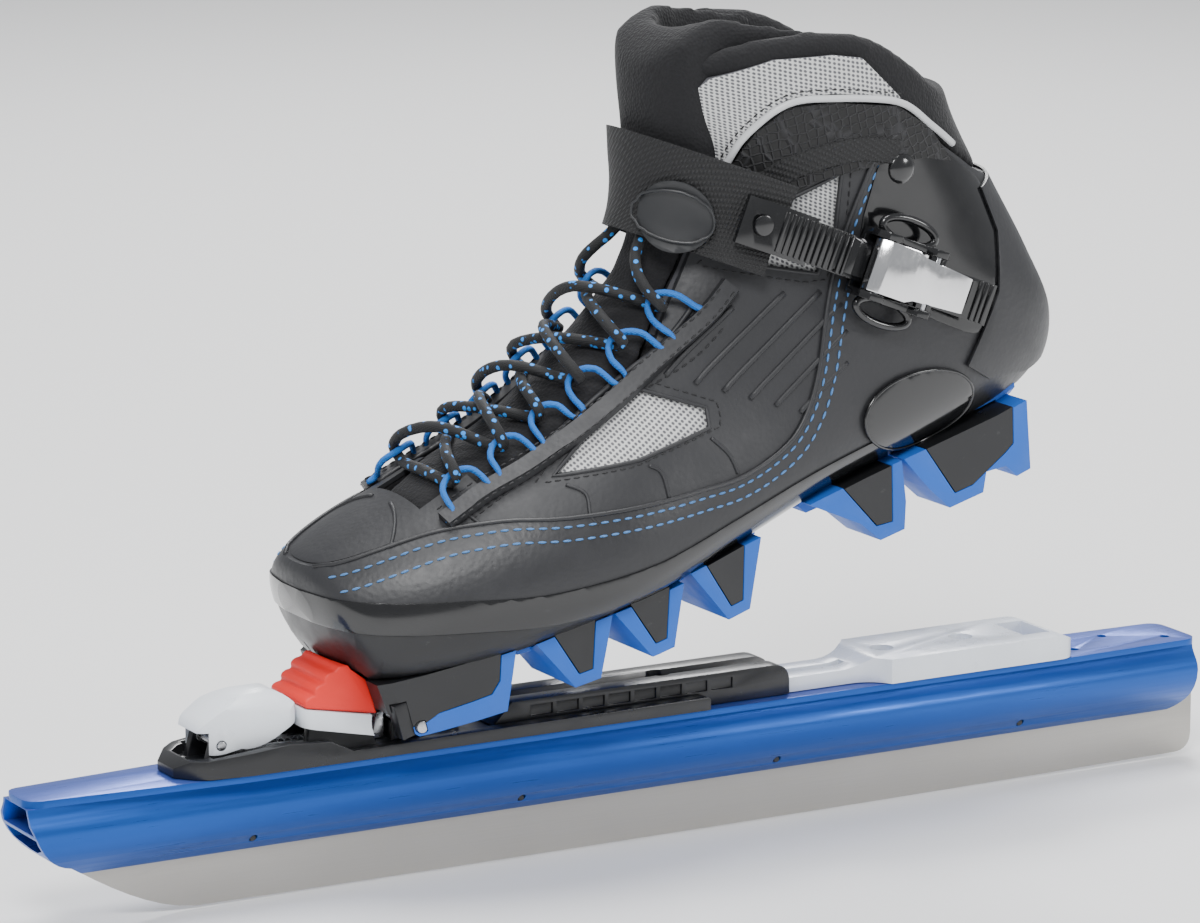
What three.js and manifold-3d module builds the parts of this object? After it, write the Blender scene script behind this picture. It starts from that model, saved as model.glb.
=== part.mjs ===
// Touring speed skate, left foot: an anodised tube blade, a toe-hinged step-in binding
// and a laced boot with a ratchet ankle strap. Millimetres, +Z up, +X from toe to heel,
// -Y is the outer (little toe) side. The origin is on the running edge, below mid-blade.

import * as THREE from 'three';
import { mergeVertices } from 'three/addons/utils/BufferGeometryUtils.js';
import Module from 'manifold-3d';

const wasm = await Module();
wasm.setup();

// ---------------------------------------------------------------- driving dimensions

const GAP = 0.3;                      // clearance left between two touching pieces
const FAR = 90;                       // half width of a cutter that passes the whole object

const BLADE_LENGTH = 450;
const STEEL_THICKNESS = 1.2;
const STEEL_HEIGHT = 17.7;            // visible below the tube
const STEEL_IN_SLOT = 7;
const ROCKER_RADIUS = 22500;
const EDGE_FLAT = 24;                 // flat at mid edge, where the skate is levelled
const TUBE_HEIGHT = 27.4;
const TUBE_PLATE_WIDTH = 30;
const TUBE_PLATE_THICKNESS = 2;
const TUBE_TIP_WIDTH = 19;
const TUBE_TAPER_LENGTH = 75;
const TUBE_NECK_WIDTH = 19;
const TUBE_BULGE_WIDTH = 27;
const TUBE_WALL = 1.5;
const TUBE_SHORT_AT_HEEL = 6.5;
const PIN_RADIUS = 1.1;
const PIN_COUNT = 4;
const TUBE_HOLE_RADIUS = 1.7;

const BINDING_WIDTH = 33;
const BASE_FLOOR = 3;
const LEVER_WIDTH = 23;
const FLEXOR_WIDTH = 25;
const RIDGE_WIDTH = 21;
const HEEL_PLATE_WIDTH = 33;
const HEEL_PLATE_HEIGHT = 8.4;
const SCREW_RADIUS = 1.9;
const SCREW_HEAD_RADIUS = 3.9;

const TOE_BAR_X = -95;
const TOE_BAR_RADIUS = 2;
const TOE_BAR_LENGTH = 56;
const TOE_BAR_ABOVE_TREAD = 2.9;
const BOOT_LIFT_DEG = 15.5;           // heel lift of the boot at rest
const BOOT_WIDTH = 100;               // across the ball of the foot
const SHELL_WALL = 2.2;
const VAMP_WALL = 1.7;
const LINER_WALL = 3;
const COLLAR_PAD = 8.5;
const TONGUE_THICKNESS = 5;
const FACING_GAP = 47;                // between the two rows of lace loops
const GUIDE_GROOVE_WIDTH = 26;
const SOLE_PLATE = 3;

const LACE_RADIUS = 1.6;
const LOOP_RADIUS = 1.1;
const STRAP_WIDTH = 31;
const STRAP_THICKNESS = 2.2;
const LADDER_WIDTH = 14;
const LADDER_THICKNESS = 1.8;
const BUCKLE_WIDTH = 23;

// places that follow from the sizes
const TUBE_TOP = STEEL_HEIGHT + TUBE_HEIGHT;
const BASE_Z = TUBE_TOP + GAP;
const HEEL_PLATE_TOP = BASE_Z + HEEL_PLATE_HEIGHT;
const TOE_BAR_Z = HEEL_PLATE_TOP + GAP + TOE_BAR_ABOVE_TREAD;
const BLADE_HALF = BLADE_LENGTH / 2;
const TREAD = -TOE_BAR_ABOVE_TREAD;   // tread plane in the boot's own frame

// ---------------------------------------------------------------- materials

const finish = (color, roughness, metalness = 0) =>
  new THREE.MeshStandardMaterial({ color, roughness, metalness });

const MATERIALS = {
  anodised: finish(0x1b62c4, 0.35, 0.7),
  steel: finish(0xb7b3ac, 0.35, 1),
  screwSteel: finish(0x8f9296, 0.35, 1),
  blackPlastic: finish(0x17181a, 0.45),
  glossBlack: finish(0x0c0d0f, 0.2),
  whitePlastic: finish(0xe9edf1, 0.4),
  redRubber: finish(0xe02a22, 0.5),
  shell: finish(0x3b3d40, 0.5),
  upper: finish(0x33363a, 0.7),
  textile: finish(0x141517, 0.95),
  silverMesh: finish(0xc6c8c7, 0.8),
  treadBlue: finish(0x1f72dc, 0.55),
  blueCord: finish(0x1b8ce8, 0.7),
  lace: finish(0x121417, 0.9),
  foam: finish(0x3a3d42, 0.95),
};

// ---------------------------------------------------------------- solids

const vec = (x, y, z) => new THREE.Vector3(x, y, z);
const rad = THREE.MathUtils.degToRad;

// A closed geometry as a solid; one that is wound inside out is turned round.
function solid(geometry) {
  const bare = geometry.clone();
  bare.deleteAttribute('normal');
  bare.deleteAttribute('uv');
  const merged = mergeVertices(bare, 1e-4);
  const vertProperties = new Float32Array(merged.attributes.position.array);
  const triVerts = new Uint32Array(merged.index.array);
  let volume = 0;
  const p = [vec(0, 0, 0), vec(0, 0, 0), vec(0, 0, 0)];
  for (let i = 0; i < triVerts.length; i += 3) {
    p.forEach((v, k) => v.fromArray(vertProperties, 3 * triVerts[i + k]));
    volume += p[0].dot(p[1].clone().cross(p[2]));
  }
  if (volume < 0) {
    for (let i = 0; i < triVerts.length; i += 3) {
      [triVerts[i], triVerts[i + 1]] = [triVerts[i + 1], triVerts[i]];
    }
  }
  return new wasm.Manifold(new wasm.Mesh({ numProp: 3, vertProperties, triVerts }));
}

function geometryOf(body) {
  const { vertProperties, triVerts } = body.getMesh();
  const geometry = new THREE.BufferGeometry();
  geometry.setAttribute('position', new THREE.BufferAttribute(vertProperties, 3));
  geometry.setIndex(new THREE.BufferAttribute(triVerts, 1));
  const flat = geometry.toNonIndexed();
  flat.computeVertexNormals();
  return flat;
}

const join = (bodies) => bodies.reduce((whole, next) => whole.add(next));

// A box from its low corner to its high corner.
function block(low, high) {
  const box = new THREE.BoxGeometry(high[0] - low[0], high[1] - low[1], high[2] - low[2]);
  box.translate((low[0] + high[0]) / 2, (low[1] + high[1]) / 2, (low[2] + high[2]) / 2);
  return solid(box);
}

function outlineShape(points) {
  return points instanceof THREE.Shape
    ? points
    : new THREE.Shape(points.map(([a, b]) => new THREE.Vector2(a, b)));
}

// A side outline (x, z) made as wide as y0 to y1.
function sideSolid(points, y0, y1, curveSegments = 8) {
  const geometry = new THREE.ExtrudeGeometry(outlineShape(points), {
    depth: y1 - y0, bevelEnabled: false, curveSegments,
  });
  geometry.rotateX(Math.PI / 2);
  geometry.translate(0, y1, 0);
  return solid(geometry);
}

// A plan outline (x, y) standing from z0 to z1.
function planSolid(points, z0, z1, curveSegments = 8) {
  const geometry = new THREE.ExtrudeGeometry(outlineShape(points), {
    depth: z1 - z0, bevelEnabled: false, curveSegments,
  });
  geometry.translate(0, 0, z0);
  return solid(geometry);
}

// A cross-section (y, z) drawn out from x0 to x1.
function sectionSolid(shape, x0, x1, curveSegments = 6) {
  const geometry = new THREE.ExtrudeGeometry(shape, {
    depth: x1 - x0, bevelEnabled: false, curveSegments,
  });
  const turn = new THREE.Matrix4().makeBasis(vec(0, 1, 0), vec(0, 0, 1), vec(1, 0, 0));
  geometry.applyMatrix4(turn);
  geometry.translate(x0, 0, 0);
  return solid(geometry);
}

// A round bar between two points.
function rod(from, to, radius, sides = 16) {
  const axis = to.clone().sub(from);
  const bar = new THREE.CylinderGeometry(radius, radius, axis.length(), sides);
  const turn = new THREE.Quaternion().setFromUnitVectors(vec(0, 1, 0), axis.clone().normalize());
  bar.applyQuaternion(turn);
  bar.translate(...from.clone().add(to).multiplyScalar(0.5).toArray());
  return solid(bar);
}

// A cord of round section along a smooth curve.
function cord(points, radius, steps, sides = 8) {
  const curve = new THREE.CatmullRomCurve3(points, false, 'centripetal');
  const section = new THREE.Shape();
  section.absarc(0, 0, radius, 0, 2 * Math.PI);
  return new THREE.ExtrudeGeometry(section, {
    extrudePath: curve, steps, curveSegments: sides / 2, bevelEnabled: false,
  });
}

// ---------------------------------------------------------------- scene graph

const skate = new THREE.Group();
const bootGroup = new THREE.Group();
bootGroup.position.set(TOE_BAR_X, 0, TOE_BAR_Z);
bootGroup.rotation.y = -rad(BOOT_LIFT_DEG);
bootGroup.updateMatrix();
skate.add(bootGroup);

function add(name, body, material, group = skate) {
  const geometry = body instanceof THREE.BufferGeometry ? body : geometryOf(body);
  const mesh = new THREE.Mesh(geometry, material);
  mesh.name = name;
  group.add(mesh);
}

const addToBoot = (name, body, material) => add(name, body, material, bootGroup);

// ---------------------------------------------------------------- blade

const FIRST_PIN = -0.3244 * BLADE_LENGTH;
const PIN_PITCH = 0.2178 * BLADE_LENGTH;
const PIN_IN_SLOT = 4.6;
const pinPlaces = Array.from({ length: PIN_COUNT }, (_, i) =>
  vec(FIRST_PIN + i * PIN_PITCH, 0, STEEL_HEIGHT + PIN_IN_SLOT));

// Toe sweep shared by tube and steel, from the plate tip down to the running edge.
function toeSweep(shape) {
  const tip = -BLADE_HALF;
  shape.lineTo(tip, TUBE_TOP - 7.5);
  shape.bezierCurveTo(tip + 2.5, TUBE_TOP - 17, tip + 9, TUBE_TOP - 23, tip + 16, STEEL_HEIGHT + 3);
  shape.bezierCurveTo(tip + 30, STEEL_HEIGHT - 6, tip + 46, rockerHeight(tip + 62) + 1,
    tip + 62, rockerHeight(tip + 62));
}

function rockerHeight(x) {
  const away = Math.max(Math.abs(x) - EDGE_FLAT / 2, 0);
  return away * away / (2 * ROCKER_RADIUS);
}

function bladeOutline() {
  const shape = new THREE.Shape();
  shape.moveTo(-BLADE_HALF, TUBE_TOP);
  toeSweep(shape);
  const steps = 16;
  const start = -BLADE_HALF + 62;
  const corner = 7;
  for (let i = 1; i <= steps; i += 1) {
    const x = start + (BLADE_HALF - corner - start) * i / steps;
    shape.lineTo(x, rockerHeight(x));
  }
  const heelEdge = rockerHeight(BLADE_HALF);
  shape.quadraticCurveTo(BLADE_HALF, heelEdge, BLADE_HALF, heelEdge + corner);
  shape.lineTo(BLADE_HALF, TUBE_TOP);
  return shape;
}

function flatEdge(body) {
  const low = [-EDGE_FLAT / 2, -STEEL_THICKNESS / 2, 0];
  const high = [EDGE_FLAT / 2, STEEL_THICKNESS / 2, STEEL_HEIGHT / 2];
  return body.add(block(low, high));
}

function steelBlade() {
  const half = STEEL_THICKNESS / 2;
  let steel = sideSolid(bladeOutline(), -half, half);
  const top = STEEL_HEIGHT + STEEL_IN_SLOT - GAP;
  steel = steel.subtract(block([-BLADE_HALF - 1, -5, top], [BLADE_HALF + 1, 5, TUBE_TOP + 1]));
  const tipCut = sideSolid([
    [-BLADE_HALF - 1, STEEL_HEIGHT + 2], [-BLADE_HALF + 21, STEEL_HEIGHT + 2],
    [-BLADE_HALF + 21, TUBE_TOP], [-BLADE_HALF - 1, TUBE_TOP],
  ], -5, 5);
  const heelCut = block([BLADE_HALF - TUBE_SHORT_AT_HEEL, -5, STEEL_HEIGHT + 5],
    [BLADE_HALF + 1, 5, TUBE_TOP]);
  steel = flatEdge(steel).subtract(tipCut).subtract(heelCut);
  for (const place of pinPlaces) {
    steel = steel.subtract(rod(place.clone().setY(-5), place.clone().setY(5), PIN_RADIUS + GAP, 12));
  }
  return steel;
}

// The extruded section: a flat plate, a neck, a bulged body and two hollow chambers.
function tubeSection() {
  const plate = TUBE_PLATE_WIDTH / 2;
  const neck = TUBE_NECK_WIDTH / 2;
  const bulge = TUBE_BULGE_WIDTH / 2;
  const foot = 3;
  const shoulder = TUBE_TOP - TUBE_PLATE_THICKNESS;
  const widest = TUBE_TOP - 11.5;
  const shape = new THREE.Shape();
  shape.moveTo(-plate, TUBE_TOP);
  shape.lineTo(-plate, shoulder);
  shape.lineTo(-neck, shoulder - 0.4);
  shape.bezierCurveTo(-neck, shoulder - 4, -bulge, widest + 4, -bulge, widest);
  shape.bezierCurveTo(-bulge, widest - 7, -foot - 3.5, STEEL_HEIGHT + 3.5, -foot, STEEL_HEIGHT);
  const slot = STEEL_THICKNESS / 2 + GAP;
  shape.lineTo(-slot, STEEL_HEIGHT);
  shape.lineTo(-slot, STEEL_HEIGHT + STEEL_IN_SLOT);
  shape.lineTo(slot, STEEL_HEIGHT + STEEL_IN_SLOT);
  shape.lineTo(slot, STEEL_HEIGHT);
  shape.lineTo(foot, STEEL_HEIGHT);
  shape.bezierCurveTo(foot + 3.5, STEEL_HEIGHT + 3.5, bulge, widest - 7, bulge, widest);
  shape.bezierCurveTo(bulge, widest + 4, neck, shoulder - 4, neck, shoulder - 0.4);
  shape.lineTo(plate, shoulder);
  shape.lineTo(plate, TUBE_TOP);
  return shape;
}

function upperChamber() {
  const roof = TUBE_TOP - TUBE_PLATE_THICKNESS - 0.6;
  const floor = TUBE_TOP - 10.6;
  const top = TUBE_NECK_WIDTH / 2 - TUBE_WALL;
  const low = TUBE_BULGE_WIDTH / 2 - TUBE_WALL - 0.5;
  return [[-top, roof], [-low, floor], [low, floor], [top, roof]];
}

function lowerChamber() {
  const roof = TUBE_TOP - 10.6 - TUBE_WALL;
  const floor = STEEL_HEIGHT + STEEL_IN_SLOT + 1.6;
  const side = TUBE_BULGE_WIDTH / 2 - TUBE_WALL;
  return [[-side + 0.3, roof], [-side + 1.4, roof - 4], [-2.2, floor], [2.2, floor],
    [side - 1.4, roof - 4], [side - 0.3, roof]];
}

function tubeHoles() {
  const pitch = 19;
  const last = BLADE_HALF - TUBE_SHORT_AT_HEEL - 9;
  return [0, 1, 2].map((i) => [last - i * pitch, i % 2 === 0 ? -5.5 : 5.5]);
}

function bladeTube() {
  const heelEnd = BLADE_HALF - TUBE_SHORT_AT_HEEL;
  let tube = sectionSolid(tubeSection(), -BLADE_HALF, heelEnd);
  for (const chamber of [upperChamber(), lowerChamber()]) {
    tube = tube.subtract(sectionSolid(outlineShape(chamber), -BLADE_HALF - 1, heelEnd + 1));
  }
  const side = new THREE.Shape();
  side.moveTo(-BLADE_HALF, TUBE_TOP + 1);
  toeSweep(side);
  side.lineTo(heelEnd - 12, 0);
  side.lineTo(heelEnd - 12, STEEL_HEIGHT - 1);
  side.quadraticCurveTo(heelEnd, STEEL_HEIGHT - 1, heelEnd, STEEL_HEIGHT + 9);
  side.lineTo(heelEnd, TUBE_TOP + 1);
  tube = tube.intersect(sideSolid(side, -40, 40));
  const plate = TUBE_PLATE_WIDTH / 2;
  const tip = TUBE_TIP_WIDTH / 2;
  const rearTip = plate - 1.8;
  const round = 6;
  const plan = new THREE.Shape();
  plan.moveTo(-BLADE_HALF + TUBE_TAPER_LENGTH, -plate);
  plan.lineTo(-BLADE_HALF + round, -tip);
  plan.quadraticCurveTo(-BLADE_HALF, -tip, -BLADE_HALF, -tip + round);
  plan.lineTo(-BLADE_HALF, tip - round);
  plan.quadraticCurveTo(-BLADE_HALF, tip, -BLADE_HALF + round, tip);
  plan.lineTo(-BLADE_HALF + TUBE_TAPER_LENGTH, plate);
  plan.lineTo(heelEnd - 60, plate);
  plan.lineTo(heelEnd - round, rearTip);
  plan.quadraticCurveTo(heelEnd, rearTip, heelEnd, rearTip - round);
  plan.lineTo(heelEnd, -rearTip + round);
  plan.quadraticCurveTo(heelEnd, -rearTip, heelEnd - round, -rearTip);
  plan.lineTo(heelEnd - 60, -plate);
  const body = block([-BLADE_HALF - 1, -20, 0],
    [BLADE_HALF, 20, TUBE_TOP - TUBE_PLATE_THICKNESS - 0.4]);
  tube = tube.intersect(planSolid(plan, 0, TUBE_TOP + 1).add(body));
  for (const [x, y] of tubeHoles()) {
    tube = tube.subtract(rod(vec(x, y, TUBE_TOP - 5), vec(x, y, TUBE_TOP + 1), TUBE_HOLE_RADIUS, 12));
  }
  for (const place of pinPlaces) {
    tube = tube.subtract(rod(place.clone().setY(-20), place.clone().setY(20), PIN_RADIUS + GAP, 12));
  }
  for (const { x } of [...baseScrews, ...heelScrews]) {
    tube = tube.subtract(rod(vec(x, 0, TUBE_TOP - 5), vec(x, 0, TUBE_TOP + 1), SCREW_RADIUS + GAP, 12));
  }
  return tube;
}

// Where each screw stands and how high the floor is that its head sits on.
const baseScrews = [
  { name: 'binding_screw_1', x: -119, seat: BASE_Z + 0.7 },
  { name: 'binding_screw_2', x: -72, seat: BASE_Z + BASE_FLOOR },
  { name: 'binding_screw_3', x: 8, seat: BASE_Z + BASE_FLOOR },
];
const heelScrews = [
  { name: 'heel_plate_screw_1', x: 96, seat: BASE_Z + 4 },
  { name: 'heel_plate_screw_2', x: 128, seat: BASE_Z + 4 },
];

function screw(x, seat) {
  const shank = rod(vec(x, 0, TUBE_TOP - 9), vec(x, 0, seat + 1), SCREW_RADIUS, 12);
  const head = rod(vec(x, 0, seat + GAP), vec(x, 0, seat + GAP + 2), SCREW_HEAD_RADIUS, 20);
  const recess = join([0, Math.PI / 2].map((angle) => {
    const bar = new THREE.BoxGeometry(4.6, 1, 1.6);
    bar.rotateZ(angle);
    bar.translate(x, 0, seat + GAP + 1.8);
    return solid(bar);
  }));
  return shank.add(head).subtract(recess);
}

function screwClearance(x, seat) {
  return rod(vec(x, 0, BASE_Z - 1), vec(x, 0, seat + 0.1), SCREW_RADIUS + GAP, 12)
    .add(rod(vec(x, 0, seat), vec(x, 0, seat + 14), SCREW_HEAD_RADIUS + GAP, 20));
}

add('blade_tube', bladeTube(), MATERIALS.anodised);
add('steel_blade', steelBlade(), MATERIALS.steel);
pinPlaces.forEach((place, i) => {
  add(`blade_pin_${i + 1}`, rod(place.clone().setY(-7.5), place.clone().setY(7.5), PIN_RADIUS, 12),
    MATERIALS.screwSteel);
});
for (const { name, x, seat } of [...baseScrews, ...heelScrews]) {
  add(name, screw(x, seat), MATERIALS.screwSteel);
}

// ---------------------------------------------------------------- binding

const LEVER_PIN = vec(-157.5, 0, BASE_Z + 9.3);
const FLOOR_TOP = BASE_Z + BASE_FLOOR;
const LATCH_TOP = FLOOR_TOP + GAP + 2.8;
const LATCH_HALF = 5;
const EAR_IN = LATCH_HALF + 2 * GAP;    // the latch slides between the lever's two ears
const EAR_OUT = 8.4;
const SPRING_FRONT = -140;
const SPRING_BACK = -124.5;

function bindingBase() {
  const half = BINDING_WIDTH / 2;
  const plan = [[-164, -half + 2], [-168, -half + 5], [-173, -6], [-173, 6], [-168, half - 5],
    [-164, half - 2], [-150, half], [19, half], [19, -half], [-150, -half]];
  const side = [[-174, BASE_Z], [-174, BASE_Z + 2.5], [-169, BASE_Z + 5.5], [-163, BASE_Z + 6.3],
    [-137, BASE_Z + 8.6], [-122, BASE_Z + 7.6], [-114, BASE_Z + 3.6], [-79, BASE_Z + 4],
    [18, BASE_Z + 4.4], [20, BASE_Z + 3], [20, BASE_Z]];
  let base = planSolid(plan, BASE_Z - 1, BASE_Z + 12).intersect(sideSolid(side, -30, 30));
  const inner = half - 4;
  base = base.subtract(block([-162, -inner, FLOOR_TOP], [-113, inner, BASE_Z + 20]));
  const noseRoom = [[-168, -6], [-164.5, -9.4], [-161, -10.5], [-161, 10.5], [-164.5, 9.4],
    [-168, 6]];
  base = base.subtract(planSolid(noseRoom, FLOOR_TOP, BASE_Z + 20));
  base = base.subtract(block([-113.5, -inner, FLOOR_TOP], [-63, inner, BASE_Z + 20]));
  base = base.subtract(block([-63.5, -inner + 1, FLOOR_TOP], [25, inner - 1, BASE_Z + 20]));
  const earSide = [[-163, FLOOR_TOP - 1], [-152, FLOOR_TOP - 1], [-153.5, LEVER_PIN.z + 3],
    [-160, LEVER_PIN.z + 3]];
  const ears = join([-1, 1].map((s) => sideSolid(earSide,
    Math.min(s * EAR_IN, s * EAR_OUT), Math.max(s * EAR_IN, s * EAR_OUT))));
  const post = block([SPRING_FRONT - 2.4, -2.1, FLOOR_TOP - 1], [SPRING_FRONT - GAP, 2.1, LATCH_TOP]);
  const rest = join([-1, 1].map((s) => sideSolid([
    [-128, FLOOR_TOP - 1], [-103, FLOOR_TOP - 1], [-103.5, BASE_Z + 5.9], [-127, BASE_Z + 11.2],
  ], s > 0 ? 7 : -10.5, s > 0 ? 10.5 : -7)));
  const jaw = sideSolid(jawOutline(), -8, 8);
  base = join([base, ears, post, rest]).subtract(pinHole(LEVER_PIN));
  base = base.add(jaw);
  for (const { x, seat } of baseScrews) {
    base = base.subtract(screwClearance(x, seat));
  }
  return base;
}

function pinHole(place) {
  return rod(place.clone().setY(-30), place.clone().setY(30), 1.5 + GAP, 14);
}

// The fixed jaw: a foot with a seat that the toe bar drops into from the front.
function jawOutline() {
  const seat = TOE_BAR_RADIUS + GAP;
  const shape = new THREE.Shape();
  shape.moveTo(TOE_BAR_X - 1, FLOOR_TOP - 1);
  shape.lineTo(TOE_BAR_X + 12, FLOOR_TOP - 1);
  shape.lineTo(TOE_BAR_X + 5.6, TOE_BAR_Z - 3);
  shape.lineTo(TOE_BAR_X + 4.6, TOE_BAR_Z + 1.6);
  shape.lineTo(TOE_BAR_X + 2.4, TOE_BAR_Z + 3.2);
  shape.lineTo(TOE_BAR_X + 0.4, TOE_BAR_Z + 3.2);
  shape.absarc(TOE_BAR_X, TOE_BAR_Z, seat, Math.PI / 2 - 0.2, -Math.PI / 2, true);
  shape.lineTo(TOE_BAR_X - 1, TOE_BAR_Z - seat);
  return shape;
}

// The latch rides in the base; its nose closes the seat in front of the bar.
function latch() {
  const nose = TOE_BAR_X - TOE_BAR_RADIUS - GAP;
  const body = sideSolid([[-150, FLOOR_TOP + GAP], [nose, FLOOR_TOP + GAP], [nose, TOE_BAR_Z + 1.2],
    [nose - 2.4, TOE_BAR_Z + 0.4], [nose - 3.8, LATCH_TOP], [-150, LATCH_TOP]],
  -LATCH_HALF, LATCH_HALF);
  const window = block([-150 + 2.4, -2.5, 0], [SPRING_BACK + GAP, 2.5, TOE_BAR_Z]);
  return body.subtract(window);
}

function coilSpring(from, to, radius, wire, turns) {
  const points = [];
  const perTurn = 8;
  for (let i = 0; i <= turns * perTurn; i += 1) {
    const angle = i / perTurn * 2 * Math.PI;
    const along = i / (turns * perTurn);
    points.push(from.clone().lerp(to, along)
      .add(vec(0, radius * Math.cos(angle), radius * Math.sin(angle))));
  }
  return cord(points, wire, turns * perTurn, 6);
}

function leverOutline() {
  const shape = new THREE.Shape();
  const z = BASE_Z;
  shape.moveTo(-165.5, z + 11.2);
  shape.quadraticCurveTo(-166, z + 15, -162, z + 17.5);
  shape.quadraticCurveTo(-151, z + 25, -141, z + 25);
  shape.quadraticCurveTo(-134, z + 24.4, -130.8, z + 18.8);
  shape.lineTo(-130.8, z + 14.5);
  shape.lineTo(-137, z + 11.6);
  shape.quadraticCurveTo(-145, z + 6.4, -151, z + 7.8);
  shape.lineTo(-156, z + 6.6);
  shape.quadraticCurveTo(-162, z + 5.6, -164, z + 8);
  return shape;
}

function bindingLever() {
  const half = LEVER_WIDTH / 2;
  const plan = new THREE.Shape();
  plan.moveTo(-163, -half + 3);
  plan.lineTo(-150, -half + 1);
  plan.lineTo(-138, -half);
  plan.quadraticCurveTo(-130.6, -half, -130.4, -half + 5);
  plan.lineTo(-130.4, half - 5);
  plan.quadraticCurveTo(-130.6, half, -138, half);
  plan.lineTo(-150, half - 1);
  plan.lineTo(-163, half - 3);
  plan.quadraticCurveTo(-166.4, half - 4, -166.4, 0);
  plan.quadraticCurveTo(-166.4, -half + 4, -163, -half + 3);
  const crown = new THREE.Shape();
  crown.moveTo(-half, 0);
  crown.lineTo(-half, BASE_Z + 15);
  crown.bezierCurveTo(-half, BASE_Z + 22, -6, BASE_Z + 25.2, 0, BASE_Z + 25.2);
  crown.bezierCurveTo(6, BASE_Z + 25.2, half, BASE_Z + 22, half, BASE_Z + 15);
  crown.lineTo(half, 0);
  return sideSolid(leverOutline(), -20, 20, 6)
    .intersect(planSolid(plan, 0, BASE_Z + 40, 6))
    .intersect(sectionSolid(crown, -200, -100, 6))
    .subtract(block([-170, -EAR_OUT - GAP, 0], [-151, EAR_OUT + GAP, LEVER_PIN.z + 4.5]))
    .subtract(pinHole(LEVER_PIN));
}

const SEAT_TOP_FRONT = BASE_Z + 18.4;
const SEAT_TOP_BACK = BASE_Z + 12.8;
const INSERT_SWEEP = 11.1;              // the boot's toe insert turns round the bar inside this

function flexorSeat() {
  const side = [[-130, BASE_Z + 12.2], [-130, SEAT_TOP_FRONT], [-100.6, SEAT_TOP_BACK],
    [-99.4, BASE_Z + 9.8], [-103.6, BASE_Z + 6.5]];
  const notch = block([-110.5, -LATCH_HALF - 0.4, 0], [-98, LATCH_HALF + 0.4, 200]);
  const half = FLEXOR_WIDTH / 2 + 1;
  const plan = new THREE.Shape();
  plan.moveTo(-130, -half + 4);
  plan.quadraticCurveTo(-130, -half, -125, -half);
  plan.lineTo(-99, -half);
  plan.lineTo(-99, half);
  plan.lineTo(-125, half);
  plan.quadraticCurveTo(-130, half, -130, half - 4);
  const bar = vec(TOE_BAR_X, 0, TOE_BAR_Z);
  const sweep = rod(bar.clone().setY(-FAR), bar.clone().setY(FAR), INSERT_SWEEP, 32);
  return sideSolid(side, -20, 20).intersect(planSolid(plan, 0, 200)).subtract(notch).subtract(sweep);
}

// The rubber flexor: bellows on its front, cut to lie just below the boot's toe.
function flexorOutline() {
  const shape = new THREE.Shape();
  const slope = (SEAT_TOP_BACK - SEAT_TOP_FRONT) / 29.4;
  const seatAt = (x) => SEAT_TOP_FRONT + (x + 130) * slope + GAP;
  shape.moveTo(-102, seatAt(-102));
  shape.lineTo(-129, seatAt(-129));
  const ridges = 3;
  for (let i = 0; i < ridges; i += 1) {
    const x = -129 + i * 3.6;
    const z = seatAt(-129) + 2 + i * 3.6;
    shape.quadraticCurveTo(x - 1.2, z + 0.6, x + 1.4, z + 1.4);
    shape.lineTo(x + 3.4, z + 1.8);
  }
  shape.lineTo(-117, BASE_Z + 31);
  shape.lineTo(-108, BASE_Z + 31);
  return shape;
}

// ---------------------------------------------------------------- guide ridge, heel plate

const RIDGE_FRONT = -60;
const RIDGE_BACK = 53;
const RIDGE_TOP = BASE_Z + 10.6;

function guideRidge() {
  const half = RIDGE_WIDTH / 2;
  const side = new THREE.Shape();
  side.moveTo(RIDGE_FRONT, FLOOR_TOP + GAP);
  side.lineTo(RIDGE_FRONT + 7, RIDGE_TOP);
  side.lineTo(RIDGE_BACK - 7, RIDGE_TOP);
  side.quadraticCurveTo(RIDGE_BACK, RIDGE_TOP, RIDGE_BACK, RIDGE_TOP - 6);
  side.lineTo(RIDGE_BACK, BASE_Z);
  side.lineTo(19 + GAP, BASE_Z);
  side.lineTo(19 + GAP, FLOOR_TOP + GAP);
  let ridge = sideSolid(side, -half, half);
  const groove = new THREE.Shape();
  groove.moveTo(-3.4, RIDGE_TOP + 1);
  groove.lineTo(-2, BASE_Z + 5.5);
  groove.lineTo(2, BASE_Z + 5.5);
  groove.lineTo(3.4, RIDGE_TOP + 1);
  ridge = ridge.subtract(sectionSolid(groove, RIDGE_FRONT - 1, RIDGE_BACK + 1));
  const pocket = 8.2;
  for (let i = 0; i < 8; i += 1) {
    const x = RIDGE_FRONT + 14 + i * (pocket + 1.6);
    for (const s of [-1, 1]) {
      const low = [x, Math.min(s * half, s * (half - 2.2)), BASE_Z + 5];
      const high = [x + pocket, Math.max(s * (half + 1), s * (half - 1)), RIDGE_TOP - 2];
      ridge = ridge.subtract(block([low[0], Math.min(low[1], high[1]), low[2]],
        [high[0], Math.max(low[1], high[1]), high[2]]));
    }
  }
  const { x, seat } = baseScrews[2];
  return ridge.subtract(screwClearance(x, seat));
}

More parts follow.
